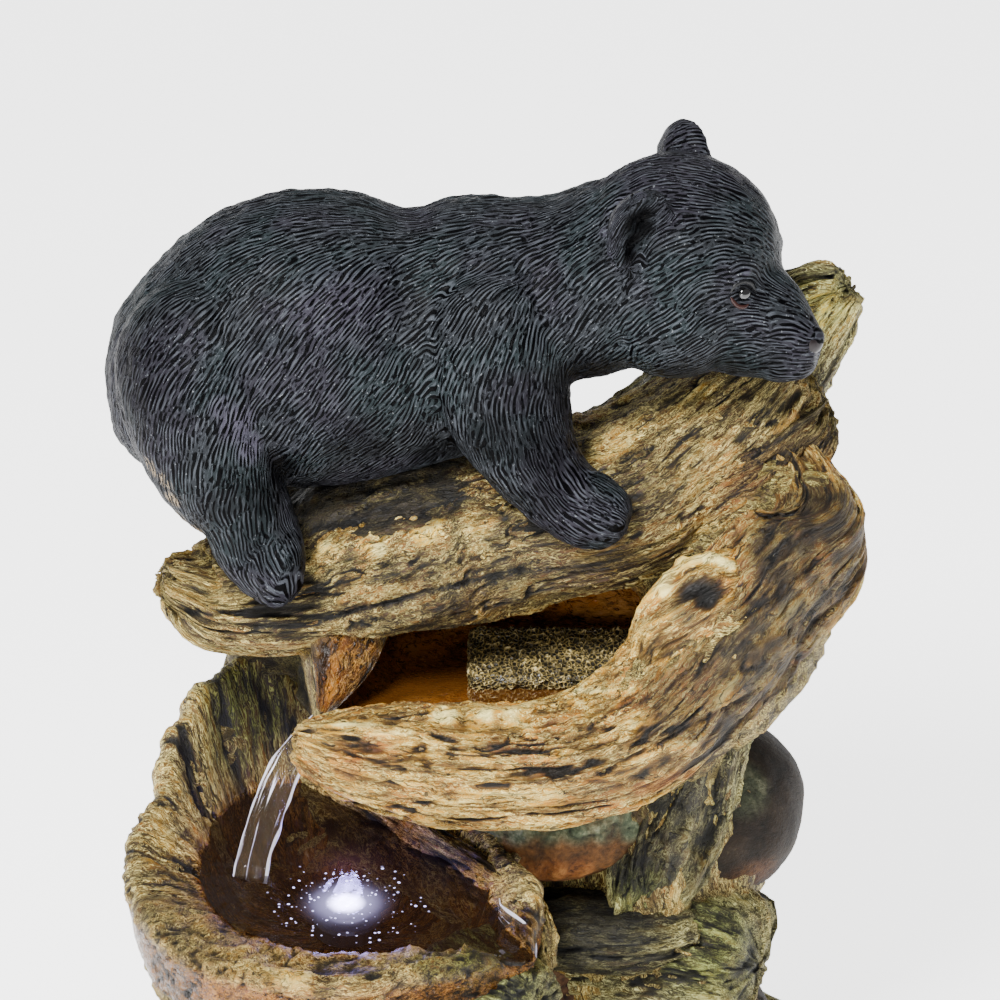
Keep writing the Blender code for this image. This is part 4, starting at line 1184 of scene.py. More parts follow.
def build_core(material):
    """The rest of the casting: its own CAD solid, remeshed finely, drawn in a little and carved like bark."""
    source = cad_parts["fountain_body"]
    builder = bmesh.new()
    builder.from_mesh(source.data)
    bmesh.ops.remove_doubles(builder, verts=builder.verts, dist=0.00002)
    bmesh.ops.triangulate(builder, faces=builder.faces)
    points, normals, faces = fine_skin(builder, "core draft", CORE_VOXEL, soften=2)
    from_trough = np.linalg.norm((points[:, :2] - TROUGH_CENTRE) / (0.105, 0.07), axis=1)
    in_trough = 1 - ease_between(from_trough, 0.8, 1.05)
    in_trough = in_trough * ease_between(points[:, 2], 0.235, 0.25)
    in_trough = in_trough * (1 - ease_between(points[:, 2], 0.31, 0.33))
    level = ease_between(points[:, 2], 0.225, 0.245)
    lying = np.stack((points[:, 2], points[:, 1], points[:, 0]), axis=1)
    depth_up, value_up = wood_relief(points, 810, {"depth": 1.2, "size": 1.5, "stretch": 5.0})
    depth_lie, value_lie = wood_relief(lying, 820, {"depth": 1.0, "size": 1.3, "stretch": 5.0})
    depth = depth_up * (1 - level) + depth_lie * level
    value = value_up * (1 - level) + value_lie * level
    grain = np.where(level[:, None] > 0.5, lying, points)
    drawn_in = 0.0026 * (1 - in_trough) + 0.0004 * in_trough
    behind = ease_between(points[:, 1], 0.05, 0.08)
    drawn_in = drawn_in * (1 - 0.8 * behind)
    from_bowl = np.linalg.norm(points[:, :2] - BOWL_CENTRE, axis=1)
    bowl_wall = ease_between(points[:, 2], 0.135, 0.152) * (1 - ease_between(points[:, 2], 0.195, 0.205))
    bowl_wall = bowl_wall * ease_between(from_bowl, 0.080, 0.090) * (1 - ease_between(from_bowl, 0.125, 0.14))
    drawn_in = drawn_in + 0.0045 * bowl_wall
    for centre, radii in BACK_STONES:
        out = np.linalg.norm((points - centre) / np.array(radii), axis=1)
        drawn_in = drawn_in + 0.006 * (1 - ease_between(out, 1.02, 1.20))
    moved = points + normals * (depth * (1 - 0.5 * in_trough) - drawn_in)[:, None]
    moved[:, 2] = np.where(points[:, 2] < 0.0015, 0.0, np.maximum(moved[:, 2], 0.0))
    value = 0.5 + 0.6 * (value - 0.5)
    made = new_mesh_object("body_core", moved, faces, grain=grain, relief=value)
    made = dress(made, moved, [], material)
    wet = in_trough * 0.9
    in_bowl = 1 - ease_between(from_bowl, 0.070, 0.080)
    # painted shade in the recess under the top log's left end
    from_shaded_recess = np.linalg.norm((points - (-0.09, 0.0, 0.25)) / (0.07, 0.05, 0.05), axis=1)
    shaded_recess = 1 - ease_between(from_shaded_recess, 0.6, 1.1)
    tint = np.zeros((len(points), 4), np.float32)
    tint[:, 2] = np.clip(shaded_recess * 0.8 * (1 - in_trough), 0, 1)
    # painted light: the trough's hollow, shaded by the top log, is brightened with the rust and pale tints
    tint[:, 1] = in_trough * 0.5
    tint[:, 3] = in_trough * 0.9
    tint[:, 0] = np.clip(0.5 * lattice_noise(points / 0.06, 5) + 0.1, 0, 1)
    made.data.attributes["tint"].data.foreach_set("color", tint.ravel())
    wet = np.clip(wet + in_bowl * 0.6, 0, 1).astype(np.float32)
    made.data.attributes["wet"].data.foreach_set("value", wet)
    return made


def applied(draft):
    """The evaluated places, normals and faces of an object, which is then removed."""
    depsgraph = bpy.context.evaluated_depsgraph_get()
    depsgraph.update()
    mesh = bpy.data.meshes.new_from_object(draft.evaluated_get(depsgraph))
    count = len(mesh.vertices)
    points = np.zeros(count * 3)
    mesh.vertices.foreach_get("co", points)
    normals = np.zeros(count * 3)
    mesh.vertices.foreach_get("normal", normals)
    faces = [tuple(face.vertices) for face in mesh.polygons]
    bpy.data.objects.remove(draft)
    bpy.data.meshes.remove(mesh)
    return points.reshape(-1, 3), normals.reshape(-1, 3), faces


# Bear



def bear_rows(stations):
    rows = np.array(stations, float) * BEAR_LENGTH
    rows[:, :3] += BEAR_STANCE
    return rows


def bear_tube(builder, stations, sides=48, spacing=0.004, up=UP, axis=None):
    """One of the bear's lofts, as closed rings in the shared draft mesh."""
    rows, _ = evenly(bear_rows(stations), spacing)
    tangent = unit(np.gradient(rows[:, :3], axis=0)) if axis is None else np.tile(axis, (len(rows), 1))
    across = unit(np.cross(tangent, up))
    lift = unit(np.cross(across, tangent))
    angle = np.linspace(0, TAU, sides, endpoint=False)
    grid = tube_grid(rows, across, lift, angle)
    verts = [builder.verts.new(place) for place in grid.reshape(-1, 3)]
    for face in grid_faces(len(grid), sides):
        builder.faces.new([verts[index] for index in face])


def bear_ball(builder, share, radii, turn=None, shape=None):
    made = bmesh.ops.create_icosphere(builder, subdivisions=4, radius=1.0)
    centre = Vector(np.array(share) * BEAR_LENGTH + BEAR_STANCE)
    for vert in made["verts"]:
        place = vert.co.copy()
        if shape:
            point = shape(place)
        else:
            point = Vector((place.x * radii[0], place.y * radii[1], place.z * radii[2]))
        vert.co = (turn @ point if turn else point) * BEAR_LENGTH + centre


def bear_ear(builder, turned, base, lean):
    turn = Matrix.Rotation(lean, 3, "X") @ Matrix.Rotation(turned, 3, "Z")

    def cupped(place):
        rim = math.hypot(place.y, place.z)
        return Vector((place.x * 0.019 + 0.020 * (rim * rim - 0.55), place.y * 0.056, place.z * 0.062))

    bear_ball(builder, base, None, turn, cupped)


BEAR_TRUNK = [
    (-0.498, 0.000, 0.138, 0.030, 0.036),
    (-0.484, 0.000, 0.140, 0.088, 0.084),
    (-0.456, 0.000, 0.146, 0.130, 0.120),
    (-0.414, 0.000, 0.158, 0.164, 0.158),
    (-0.352, 0.000, 0.178, 0.190, 0.188),
    (-0.281, 0.000, 0.194, 0.199, 0.204),
    (-0.211, 0.000, 0.199, 0.199, 0.211),
    (-0.140, 0.000, 0.199, 0.190, 0.206),
    (-0.077, 0.000, 0.196, 0.172, 0.188),
    (-0.020, 0.000, 0.211, 0.170, 0.186),
    (0.036, 0.000, 0.224, 0.174, 0.179),
    (0.092, -0.006, 0.245, 0.164, 0.156),
    (0.148, -0.020, 0.285, 0.146, 0.132),
    (0.203, -0.036, 0.310, 0.138, 0.136),
    (0.262, -0.048, 0.324, 0.120, 0.130),
]
BEAR_SNOUT = [
    (0.300, -0.062, 0.318, 0.118, 0.122),
    (0.350, -0.082, 0.300, 0.104, 0.107),
    (0.394, -0.100, 0.280, 0.080, 0.090),
    (0.429, -0.114, 0.264, 0.061, 0.077),
    (0.457, -0.127, 0.252, 0.048, 0.064),
    (0.480, -0.137, 0.247, 0.036, 0.047),
    (0.494, -0.143, 0.246, 0.020, 0.027),
]
BEAR_LEGS = [
    [
        (0.040, -0.060, 0.330, 0.050, 0.050),
        (0.044, -0.074, 0.300, 0.096, 0.100),
        (0.048, -0.088, 0.240, 0.110, 0.120),
        (0.060, -0.114, 0.176, 0.098, 0.112),
        (0.088, -0.150, 0.112, 0.076, 0.088),
        (0.126, -0.178, 0.062, 0.058, 0.068),
        (0.158, -0.196, 0.038, 0.054, 0.054),
        (0.190, -0.210, 0.030, 0.056, 0.044),
        (0.218, -0.222, 0.029, 0.044, 0.034),
        (0.234, -0.228, 0.026, 0.020, 0.016),
    ],
    [
        (0.018, 0.080, 0.220, 0.106, 0.110),
        (0.002, 0.104, 0.140, 0.080, 0.088),
        (-0.010, 0.120, 0.078, 0.058, 0.062),
        (0.004, 0.132, 0.030, 0.048, 0.048),
        (0.034, 0.140, 0.004, 0.044, 0.034),
        (0.056, 0.142, -0.002, 0.022, 0.016),
    ],
    [
        (-0.350, -0.046, 0.300, 0.060, 0.060),
        (-0.352, -0.066, 0.262, 0.104, 0.108),
        (-0.354, -0.086, 0.196, 0.124, 0.132),
        (-0.350, -0.114, 0.130, 0.114, 0.128),
        (-0.332, -0.146, 0.066, 0.090, 0.104),
        (-0.300, -0.166, 0.010, 0.066, 0.072),
        (-0.280, -0.182, -0.034, 0.062, 0.060),
        (-0.260, -0.202, -0.052, 0.060, 0.046),
        (-0.242, -0.230, -0.058, 0.052, 0.034),
        (-0.232, -0.246, -0.060, 0.026, 0.018),
    ],
    [
        (-0.335, 0.085, 0.180, 0.125, 0.125),
        (-0.315, 0.125, 0.095, 0.095, 0.100),
        (-0.270, 0.142, 0.030, 0.066, 0.070),
        (-0.225, 0.150, -0.016, 0.054, 0.050),
        (-0.185, 0.152, -0.036, 0.050, 0.036),
        (-0.162, 0.152, -0.040, 0.024, 0.018),
    ],
]

# The lie of the fur: places in shares of the bear's length, and the way the hair points there
FUR_LIE = [
    ((0.46, -0.13, 0.27), (-0.9, 0.1, 0.35)),
    ((0.40, -0.12, 0.33), (-0.85, 0.1, 0.5)),
    ((0.32, -0.06, 0.48), (-1.0, 0.1, 0.1)),
    ((0.38, -0.17, 0.27), (-0.85, -0.1, -0.35)),
    ((0.28, -0.20, 0.34), (-0.75, 0.0, -0.65)),
    ((0.24, -0.16, 0.20), (-0.6, 0.0, -0.8)),
    ((0.14, -0.16, 0.30), (-0.55, 0.0, -0.85)),
    ((0.14, -0.02, 0.42), (-1.0, 0.0, -0.3)),
    ((0.05, -0.17, 0.25), (-0.35, 0.0, -0.95)),
    ((-0.02, 0.0, 0.40), (-1.0, 0.0, -0.25)),
    ((-0.10, -0.17, 0.28), (-0.7, 0.0, -0.72)),
    ((-0.12, -0.19, 0.12), (-0.75, 0.0, -0.6)),
    ((-0.25, 0.0, 0.41), (-0.95, 0.0, -0.35)),
    ((-0.25, -0.20, 0.20), (-0.6, 0.0, -0.8)),
    ((-0.36, -0.18, 0.28), (-0.5, 0.0, -0.85)),
    ((-0.45, -0.08, 0.24), (-0.15, 0.0, -1.0)),
    ((-0.49, 0.0, 0.14), (0.05, 0.0, -1.0)),
    ((-0.36, -0.22, 0.10), (-0.1, 0.0, -1.0)),
    ((-0.30, -0.22, -0.02), (0.2, -0.2, -1.0)),
    ((-0.25, -0.25, -0.06), (0.5, -0.6, -0.6)),
    ((0.04, -0.20, 0.16), (0.1, 0.0, -1.0)),
    ((0.10, -0.21, 0.08), (0.55, -0.2, -0.85)),
    ((0.20, -0.25, 0.05), (0.85, -0.3, -0.35)),
    ((-0.15, 0.19, 0.20), (-0.65, 0.0, -0.75)),
    ((0.10, 0.15, 0.25), (-0.5, 0.0, -0.85)),
    ((-0.40, 0.18, 0.15), (-0.2, 0.0, -1.0)),
    ((0.0, 0.14, 0.08), (0.1, 0.0, -1.0)),
]


def fur_flow(points, normals):
    """The lie of the fur at each place, along the skin."""
    total = np.zeros_like(points)
    for share, way in FUR_LIE:
        away = np.linalg.norm(points - (np.array(share) * BEAR_LENGTH + BEAR_STANCE), axis=1)
        total += np.array(way) / ((away ** 2 + 0.014 ** 2) ** 1.5)[:, None]
    total = unit(total)
    total -= normals * np.einsum("ij,ij->i", total, normals)[:, None]
    return unit(total)


def fur_locks(points, lie, side):
    """The relief of the locks: patches of long ridges along the hair that run into one another."""
    rng = np.random.default_rng(5)
    picks = rng.permutation(len(points))
    patch = 11 * MM
    cells = set()
    centres = []
    for index in picks:
        cell = tuple((points[index] / (patch * 0.8)).astype(int))
        if cell not in cells:
            cells.add(cell)
            centres.append(index)
    total = np.zeros(len(points))
    weight = np.zeros(len(points))
    for index in centres:
        offset = points - points[index]
        away = np.einsum("ij,ij->i", offset, offset)
        near = np.nonzero(away < patch * patch)[0]
        step = offset[near]
        share = (1 - away[near] / (patch * patch)) ** 4
        laid = np.stack((
            step @ lie[index] * 0.20, step @ side[index], np.full(len(near), index * 0.0137),
        ), axis=1)
        ridge = 0.5 - 1.7 * np.abs(lattice_noise(laid / (5.2 * MM), 9))
        finer = 0.5 - 1.5 * np.abs(lattice_noise(laid / (3.2 * MM), 12))
        total[near] += share * (ridge + 0.6 * finer)
        weight[near] += share
    return total / np.maximum(weight, 1e-6)


HAIR_PATCH = 0.019


def hair_layer(g, place, lie, side, shift):
    """Coordinates along and across the hair, each patch from its own middle, and how near its edge is."""
    moved = g.vector("SCALE", g.vector("ADD", place, shift), 1 / HAIR_PATCH)
    wobble = g.add("TexNoise", {"Vector": moved, "Scale": 2.2, "Detail": 2.0}).outputs["Color"]
    ragged = g.vector("ADD", moved, g.vector("SCALE", g.vector("SUBTRACT", wobble, (0.5, 0.5, 0.5)), 0.8))
    cells = g.add("TexVoronoi", {"Vector": ragged, "Scale": 1.0}, feature="F1")
    rim = g.add("TexVoronoi", {"Vector": ragged, "Scale": 1.0}, feature="DISTANCE_TO_EDGE")
    offset = g.vector("SCALE", g.vector("SUBTRACT", moved, cells.outputs["Position"]), HAIR_PATCH)
    along = g.vector("DOT_PRODUCT", offset, lie)
    across = g.vector("DOT_PRODUCT", offset, side)
    laid = g.add("CombineXYZ", {"X": along, "Y": across, "Z": 0.0}).outputs[0]
    return g.vector("ADD", laid, cells.outputs["Color"]), rim.outputs["Distance"]


def hair_strokes(g, laid, rim, spacing, length):
    """Incised strokes: thin lines side by side, each set off from its neighbours and tapered at its ends."""
    wander = g.noise(g.vector("MULTIPLY", laid, (0.26, 0.55, 1.0)), 150.0, 2.0, 0.5)
    parts = g.add("SeparateXYZ", {"Vector": laid})
    row = g.maths("MULTIPLY_ADD", parts.outputs["Y"], 1 / spacing, g.maths("MULTIPLY", wander, 3.4))
    number = g.maths("FLOOR", row)
    off = g.maths("ABSOLUTE", g.maths("SUBTRACT", g.maths("SUBTRACT", row, number), 0.5))
    chance = g.add("TexWhiteNoise", {"W": number}, noise_dimensions="1D").outputs["Value"]
    way = g.maths("MULTIPLY_ADD", parts.outputs["X"], 1 / length, g.maths("MULTIPLY", chance, 7.3))
    way = g.maths("MULTIPLY_ADD", wander, 0.8, way)
    taper = g.span(g.maths("ABSOLUTE", g.maths("SUBTRACT", g.maths("FRACT", way), 0.5)), 0.34, 0.50, 1.0, 0.0)
    width = g.maths("MULTIPLY", taper, g.span(chance, 0.0, 1.0, 0.16, 0.29))
    line = g.span(g.maths("SUBTRACT", off, width), -0.05, 0.05, 1.0, 0.0)
    line = g.maths("MULTIPLY", line, g.span(taper, 0.0, 0.25))
    return g.maths("MULTIPLY", line, g.span(rim, 0.0, 0.05)), off


def fur_material():
    """Matte charcoal fur: long incised strokes along the hair, brushed with blue-green and violet, with
    painted shade and painted highlights from the skin's masks.
    """
    g = Graph("painted fur")
    place = g.add("TexCoord").outputs["Object"]
    lie = g.attribute("lie").outputs["Vector"]
    side = g.attribute("side").outputs["Vector"]
    tuft = g.attribute("tuft").outputs["Fac"]
    # shade: painted shade in the ear's cup, round the eye, along the mouth, under the head, belly and legs
    shade = g.attribute("shade").outputs["Fac"]
    rub = g.attribute("rub").outputs["Fac"]
    laid_a, rim_a = hair_layer(g, place, lie, side, (0.31, 0.02, 0.11))
    laid_b, rim_b = hair_layer(g, place, lie, side, (0.07, 0.43, 0.29))
    cut_a, off = hair_strokes(g, laid_a, rim_a, 2.2 * MM, 20 * MM)
    cut_b, _ = hair_strokes(g, laid_b, rim_b, 2.6 * MM, 24 * MM)
    gate = g.span(rim_a, 0.05, 0.13, 1.0, 0.0)
    kept_a = g.maths("MULTIPLY", cut_a, g.maths("SUBTRACT", 1.0, gate))
    grooves = g.maths("MAXIMUM", kept_a, g.maths("MULTIPLY", cut_b, gate))
    thin_hair = g.noise(g.vector("MULTIPLY", laid_a, (0.12, 1.0, 1.0)), 1250.0, 1.0)
    crests = g.maths("MULTIPLY", g.span(off, 0.22, 0.42), g.span(thin_hair, 0.44, 0.58))
    broad = g.noise(place, 30.0, 2.0, 0.5)
    other = g.noise(g.vector("ADD", place, (0.31, 0.17, 0.05)), 19.0, 2.0, 0.5)
    grit = g.noise(place, 1500.0, 2.0, 0.6)
    flecks = g.noise(place, 700.0, 1.0, 0.5)
    base = g.mix(g.span(broad, 0.42, 0.62), FUR_GREY, FUR_TEAL)
    base = g.mix(g.span(other, 0.46, 0.62), base, FUR_VIOLET)
    # lighter tufts, and painted highlights on the ear's rim and brow
    base = g.mix(g.maths("MULTIPLY", tuft, 0.8), base, FUR_TUFT_AND_HIGHLIGHT)
    base = g.mix(g.maths("MULTIPLY", crests, 0.6), base, FUR_BRUSHED)
    base = g.mix(g.maths("MULTIPLY", g.span(flecks, 0.70, 0.76), 0.6), base, FUR_FLECK)
    worn = g.maths("MULTIPLY", rub, g.span(thin_hair, 0.44, 0.56))
    base = g.mix(worn, base, FUR_WORN)
    colour = g.mix(grooves, base, FUR_GROOVE_AND_SHADE)
    # painted shade from the shade mask
    colour = g.mix(shade, colour, FUR_GROOVE_AND_SHADE)
    height = g.maths("MULTIPLY_ADD", grooves, -1.0, g.maths("MULTIPLY", thin_hair, 0.22))
    height = g.maths("MULTIPLY_ADD", grit, 0.08, height)
    rough = g.span(grit, 0.2, 0.8, 0.36, 0.52)
    return g.finish(
        Base_Color=colour, Roughness=rough, Normal=g.bump(height, 1.0, 0.0014), Specular_IOR_Level=0.04,
    )


def plain_material(name, colour, roughness, specular=0.5, coat=0.0, mottled=0.25, scale=300.0):
    g = Graph(name)
    place = g.add("TexCoord").outputs["Object"]
    mottle = g.noise(place, scale, 3.0, 0.6)
    darker = tuple(value * (1 - mottled) for value in colour)
    lighter = tuple(min(value * (1 + mottled), 1.0) for value in colour)
    tone = g.mix(mottle, darker, lighter)
    g.shader.inputs["Coat Weight"].default_value = coat
    g.shader.inputs["Coat Roughness"].default_value = 0.05
    return g.finish(
        Base_Color=tone, Roughness=roughness, Specular_IOR_Level=specular,
        Normal=g.bump(mottle, 0.25, 0.0004),
    )


# Forms of the face and coat: a pixel, a radius and a rise in millimetres
BEAR_FORMS = [
    (744, 294, 7.0, -1.5),
    (756, 292, 5.0, -1.0),
    (747, 272, 5.0, 1.3),
    (739, 277, 4.5, 0.9),
    (755, 274, 4.5, 0.8),
    (786, 366, 5.0, -0.5),
    (770, 370, 5.0, -0.5),
    (800, 362, 4.0, -0.5),
    (640, 222, 7.5, -3.4),
    (632, 246, 6.5, -3.0),
    (608, 212, 4.5, 1.2), (605, 232, 4.5, 1.2), (610, 252, 4.5, 1.0), (618, 201, 4.5, 1.2),
    (634, 196, 4.5, 1.2),
    (650, 200, 4.5, 1.0),
]
# Painted shade (in the ear's cup, round the eye, along the mouth, under the head, belly and legs, and on the
# rump), lighter tufts with painted highlights on the ear's rim and brow, and worn places: a pixel, a radius
# in millimetres and a strength
BEAR_PAINTED_SHADE = [
    (632, 222, 8.5, 1.0), (644, 216, 8.5, 1.0), (645, 228, 8.0, 0.95), (634, 240, 8.5, 1.0),
    (630, 256, 6.5, 0.95),
    (744, 294, 5.5, 0.75), (753, 290, 3.5, 0.7), (757, 300, 3.0, 0.5), (740, 282, 3.0, 0.4),
    (804, 365, 1.8, 0.7), (797, 367, 1.8, 0.7), (790, 369, 1.8, 0.65), (783, 371, 1.8, 0.6),
    (776, 372, 1.8, 0.55),
    (769, 372, 1.8, 0.5), (762, 371, 1.8, 0.45), (755, 370, 1.8, 0.4), (748, 368, 2.2, 0.4),
    (280, 470, 14, 0.8), (262, 500, 16, 0.6), (300, 485, 14, 0.7), (440, 450, 18, 0.65), (490, 440, 20, 0.6),
    (360, 440, 22, 0.4), (540, 450, 26, 0.6), (540, 500, 18, 0.5), (230, 500, 18, 0.4),
    (590, 370, 22, 0.65), (630, 378, 20, 0.65), (560, 390, 20, 0.55), (300, 560, 8, 0.5),
    (680, 374, 16, 0.55),
    (730, 366, 16, 0.45), (600, 440, 24, 0.6), (330, 520, 12, 0.4), (250, 540, 20, 0.35),
    (130, 380, 40, 0.35),
    (160, 300, 30, 0.2), (520, 400, 24, 0.35), (770, 360, 12, 0.3),
]
BEAR_TUFTS_AND_HIGHLIGHTS = [
    (238, 425, 14, 0.8), (250, 448, 11, 0.8), (222, 408, 9, 0.5), (330, 300, 28, 0.2), (608, 212, 4, 0.35),
    (605, 232, 4, 0.35), (612, 254, 4, 0.3), (620, 200, 4, 0.35), (640, 195, 4, 0.3), (745, 271, 3.5, 0.5),
]
BEAR_WORN = [
    (150, 467, 7, 0.8), (165, 482, 6, 0.8), (172, 500, 6, 0.8), (182, 517, 6, 0.8), (196, 528, 6, 0.9),
    (205, 545, 5, 0.5),
]
EYE_PIXEL = (744, 294)
NOSE_PIXEL = (815, 348)
LID_LOWER_PIXELS = [(731, 297), (733, 301), (738, 306), (744, 307), (749, 304)]
LID_UPPER_PIXELS = [(730, 294), (735, 286), (743, 282), (751, 284), (756, 291)]


def spread_spots(points, tree, spots):
    """A value at each point from spots (px, py, radius in mm, strength) that lie on the skin."""
    values = np.zeros(len(points))
    for px, py, radius, strength in spots:
        hit, _ = on_surface(tree, px, py)
        if hit is not None:
            away = np.linalg.norm(points - hit, axis=1) / (radius * MM)
            values = np.maximum(values, strength * (1 - ease_between(away, 0.35, 1.0)))
    return values


def make_bear():
    builder = bmesh.new()
    bear_tube(builder, BEAR_TRUNK, sides=72, axis=np.array((1.0, 0.0, 0.0)))
    bear_ball(builder, (0.302, -0.052, 0.350), (0.146, 0.138, 0.142))
    bear_ball(builder, (0.302, -0.066, 0.296), (0.120, 0.132, 0.112))
    bear_ball(builder, (0.372, -0.128, 0.350), (0.045, 0.036, 0.036))
    bear_ball(builder, (0.406, -0.028, 0.352), (0.045, 0.036, 0.036))
    bear_tube(builder, BEAR_SNOUT)
    bear_ball(builder, (0.488, -0.142, 0.266), (0.016, 0.022, 0.015))
    bear_ear(builder, math.radians(-50), (0.240, -0.174, 0.444), math.radians(12))
    bear_ear(builder, math.radians(34), (0.310, 0.048, 0.448), math.radians(-12))
    for leg in BEAR_LEGS:
        bear_tube(builder, leg, sides=44, up=FRONT)
    bear_ball(builder, (-0.468, 0.000, 0.078), (0.020, 0.034, 0.036))
    bmesh.ops.recalc_face_normals(builder, faces=builder.faces)
    points, normals, faces = fine_skin(builder, "bear draft", BEAR_VOXEL, soften=8)
    tree = BVHTree.FromPolygons([tuple(point) for point in points], faces)
    lie = fur_flow(points, normals)
    side = np.cross(normals, lie)
    shares = (points - BEAR_STANCE) / BEAR_LENGTH
    face = ease_between(shares[:, 0], 0.26, 0.36)
    depth = 0.8 * layered_noise(points / (16 * MM), 3, 2)
    depth = depth + 1.05 * fur_locks(points, lie, side) * (1 - 0.75 * face)
    for px, py, radius, rise in BEAR_FORMS:
        hit, _ = on_surface(tree, px, py)
        if hit is not None:
            away = np.linalg.norm(points - hit, axis=1) / (radius * MM)
            depth = depth + rise * (1 - ease_between(away, 0.0, 1.0))
    moved = points + normals * (depth * MM)[:, None]
    made = new_mesh_object(
        "bear_fur", moved, faces, lie=lie, side=side,
        tuft=spread_spots(points, tree, BEAR_TUFTS_AND_HIGHLIGHTS),
        shade=spread_spots(points, tree, BEAR_PAINTED_SHADE),
        rub=spread_spots(points, tree, BEAR_WORN),
    )
    finish_piece(made, fur_material(), "bear")
    return tree_of(made)


def add_ball(name, centre, radius, material, squash=1.0, normal=None):
    builder = bmesh.new()
    bmesh.ops.create_uvsphere(builder, u_segments=40, v_segments=28, radius=1.0)
    turn = Vector(normal).to_track_quat("Z", "Y").to_matrix() if normal is not None else Matrix.Identity(3)
    for vert in builder.verts:
        place = vert.co
        dent = 1 + 0.02 * noise.noise(place * 3)
        wide = radius * dent
        vert.co = turn @ Vector((place.x * wide, place.y * wide, place.z * wide * squash))
        vert.co += Vector(centre)
    mesh = bpy.data.meshes.new(name)
    builder.to_mesh(mesh)
    builder.free()
    mesh.shade_smooth()
    made = bpy.data.objects.new(name, mesh)
    bpy.context.scene.collection.objects.link(made)
    return finish_piece(made, material)


def add_bead(name, pixels, tree, width, sink, material):
    """A thin tapered roll that lies on the skin through a run of pixels."""
    places = []
    for px, py in pixels:
        hit, normal = on_surface(tree, px, py)
        if hit is None:
            return None
        places.append((*(hit - normal * sink), width, width))
    places[0] = (*places[0][:3], width * 0.25, width * 0.25)
    places[-1] = (*places[-1][:3], width * 0.25, width * 0.25)
    rows, _ = evenly(places, 0.0006)
    tangent = unit(np.gradient(rows[:, :3], axis=0))
    side = unit(np.cross(tangent, FRONT))
    lift = unit(np.cross(side, tangent))
    sides = 12
    angle = np.linspace(0, TAU, sides, endpoint=False)
    grid = tube_grid(rows, side, lift, angle)
    made = new_mesh_object(name, grid.reshape(-1, 3), grid_faces(len(grid), sides))
    return finish_piece(made, material)


def make_face(tree):
    """Eye, lids and nose, set on the head where the photograph shows them."""
    eye = plain_material("eye gloss", paint(9, 8, 8), 0.05, 0.5, 1.0, 0.1)
    lid = plain_material("lid paint", paint(40, 19, 16), 0.35, 0.3)
    brow = plain_material("brow paint", paint(16, 17, 19), 0.5, 0.3)
    nose = plain_material("nose paint", paint(24, 18, 19), 0.36, 0.25)
    hit, normal = on_surface(tree, *EYE_PIXEL)
    add_ball("bear_eye_near", hit - normal * 2.9 * MM, 4.3 * MM, eye, 1.0, normal)
    add_bead("bear_lid_lower", LID_LOWER_PIXELS, tree, 1.05 * MM, 0.2 * MM, lid)
    add_bead("bear_lid_upper", LID_UPPER_PIXELS, tree, 1.1 * MM, 0.3 * MM, brow)
    hit, normal = on_surface(tree, *NOSE_PIXEL)
    add_ball("bear_nose", hit - normal * 4.6 * MM, 6.2 * MM, nose, 0.85, normal)


# Water, foam and lamp

def water_material(name, tone, alpha, ripple=90.0, roughness=0.03, depth=0.0015, glow=None):
    """Clear water: a thin tinted film with ripples, and an optional painted glow with painted glints round a
    place.
    """
    g = Graph(name)
    place = g.add("TexCoord").outputs["Object"]
    waves = g.noise(place, ripple, 3.0, 0.55, 0.4)
    wavelets = g.noise(place, ripple * 4, 2.0, 0.5)
    height = g.maths("MULTIPLY_ADD", wavelets, 0.35, waves)
    normal = g.bump(height, 0.6, depth)
    g.shader.inputs["IOR"].default_value = 1.33
    values = {"Base_Color": tone, "Roughness": roughness, "Normal": normal, "Alpha": alpha}
    if glow:
        # the lamp's light in the water is painted: an emissive halo and glints round its place
        centre, colour, reach = glow
        offset = g.vector("SUBTRACT", place, tuple(centre))
        away = g.add("VectorMath", operation="LENGTH")
        g.put(away.inputs[0], offset)
        distance = away.outputs["Value"]
        core = g.span(distance, reach * 0.10, reach * 0.36, 1.0, 0.0)
        painted_halo = g.span(distance, reach * 0.20, reach * 1.0, 1.0, 0.0)
        painted_halo = g.maths("POWER", painted_halo, 2.0)
        cells = g.add("TexVoronoi", {"Vector": place, "Scale": 460.0, "Randomness": 1.0}, feature="F1")
        chance = g.add("SeparateColor", {"Color": cells.outputs["Color"]})
        size = g.span(chance.outputs[1], 0.2, 1.0, 0.10, 0.46)
        painted_glint = g.span(g.maths("DIVIDE", cells.outputs["Distance"], size), 0.5, 1.0, 1.0, 0.0)
        rarer = g.maths("MULTIPLY_ADD", distance, -0.50 / reach, chance.outputs[0])
        painted_glint = g.maths("MULTIPLY", painted_glint, g.span(rarer, 0.22, 0.30))
        painted_glint = g.maths("MULTIPLY", painted_glint, g.span(distance, reach * 1.2, reach * 1.9, 1.0, 0.0))
        light = g.maths("MULTIPLY_ADD", core, 14.0, g.maths("MULTIPLY", painted_halo, 1.1))
        light = g.maths("MULTIPLY_ADD", painted_glint, 5.0, light)
        values["Emission_Color"] = colour
        values["Emission_Strength"] = light
        near = g.span(distance, reach * 0.5, reach * 0.9, 1.0, 0.0)
        values["Alpha"] = g.maths("MAXIMUM", g.maths("MAXIMUM", alpha, near), painted_glint)
    return g.finish(**values)


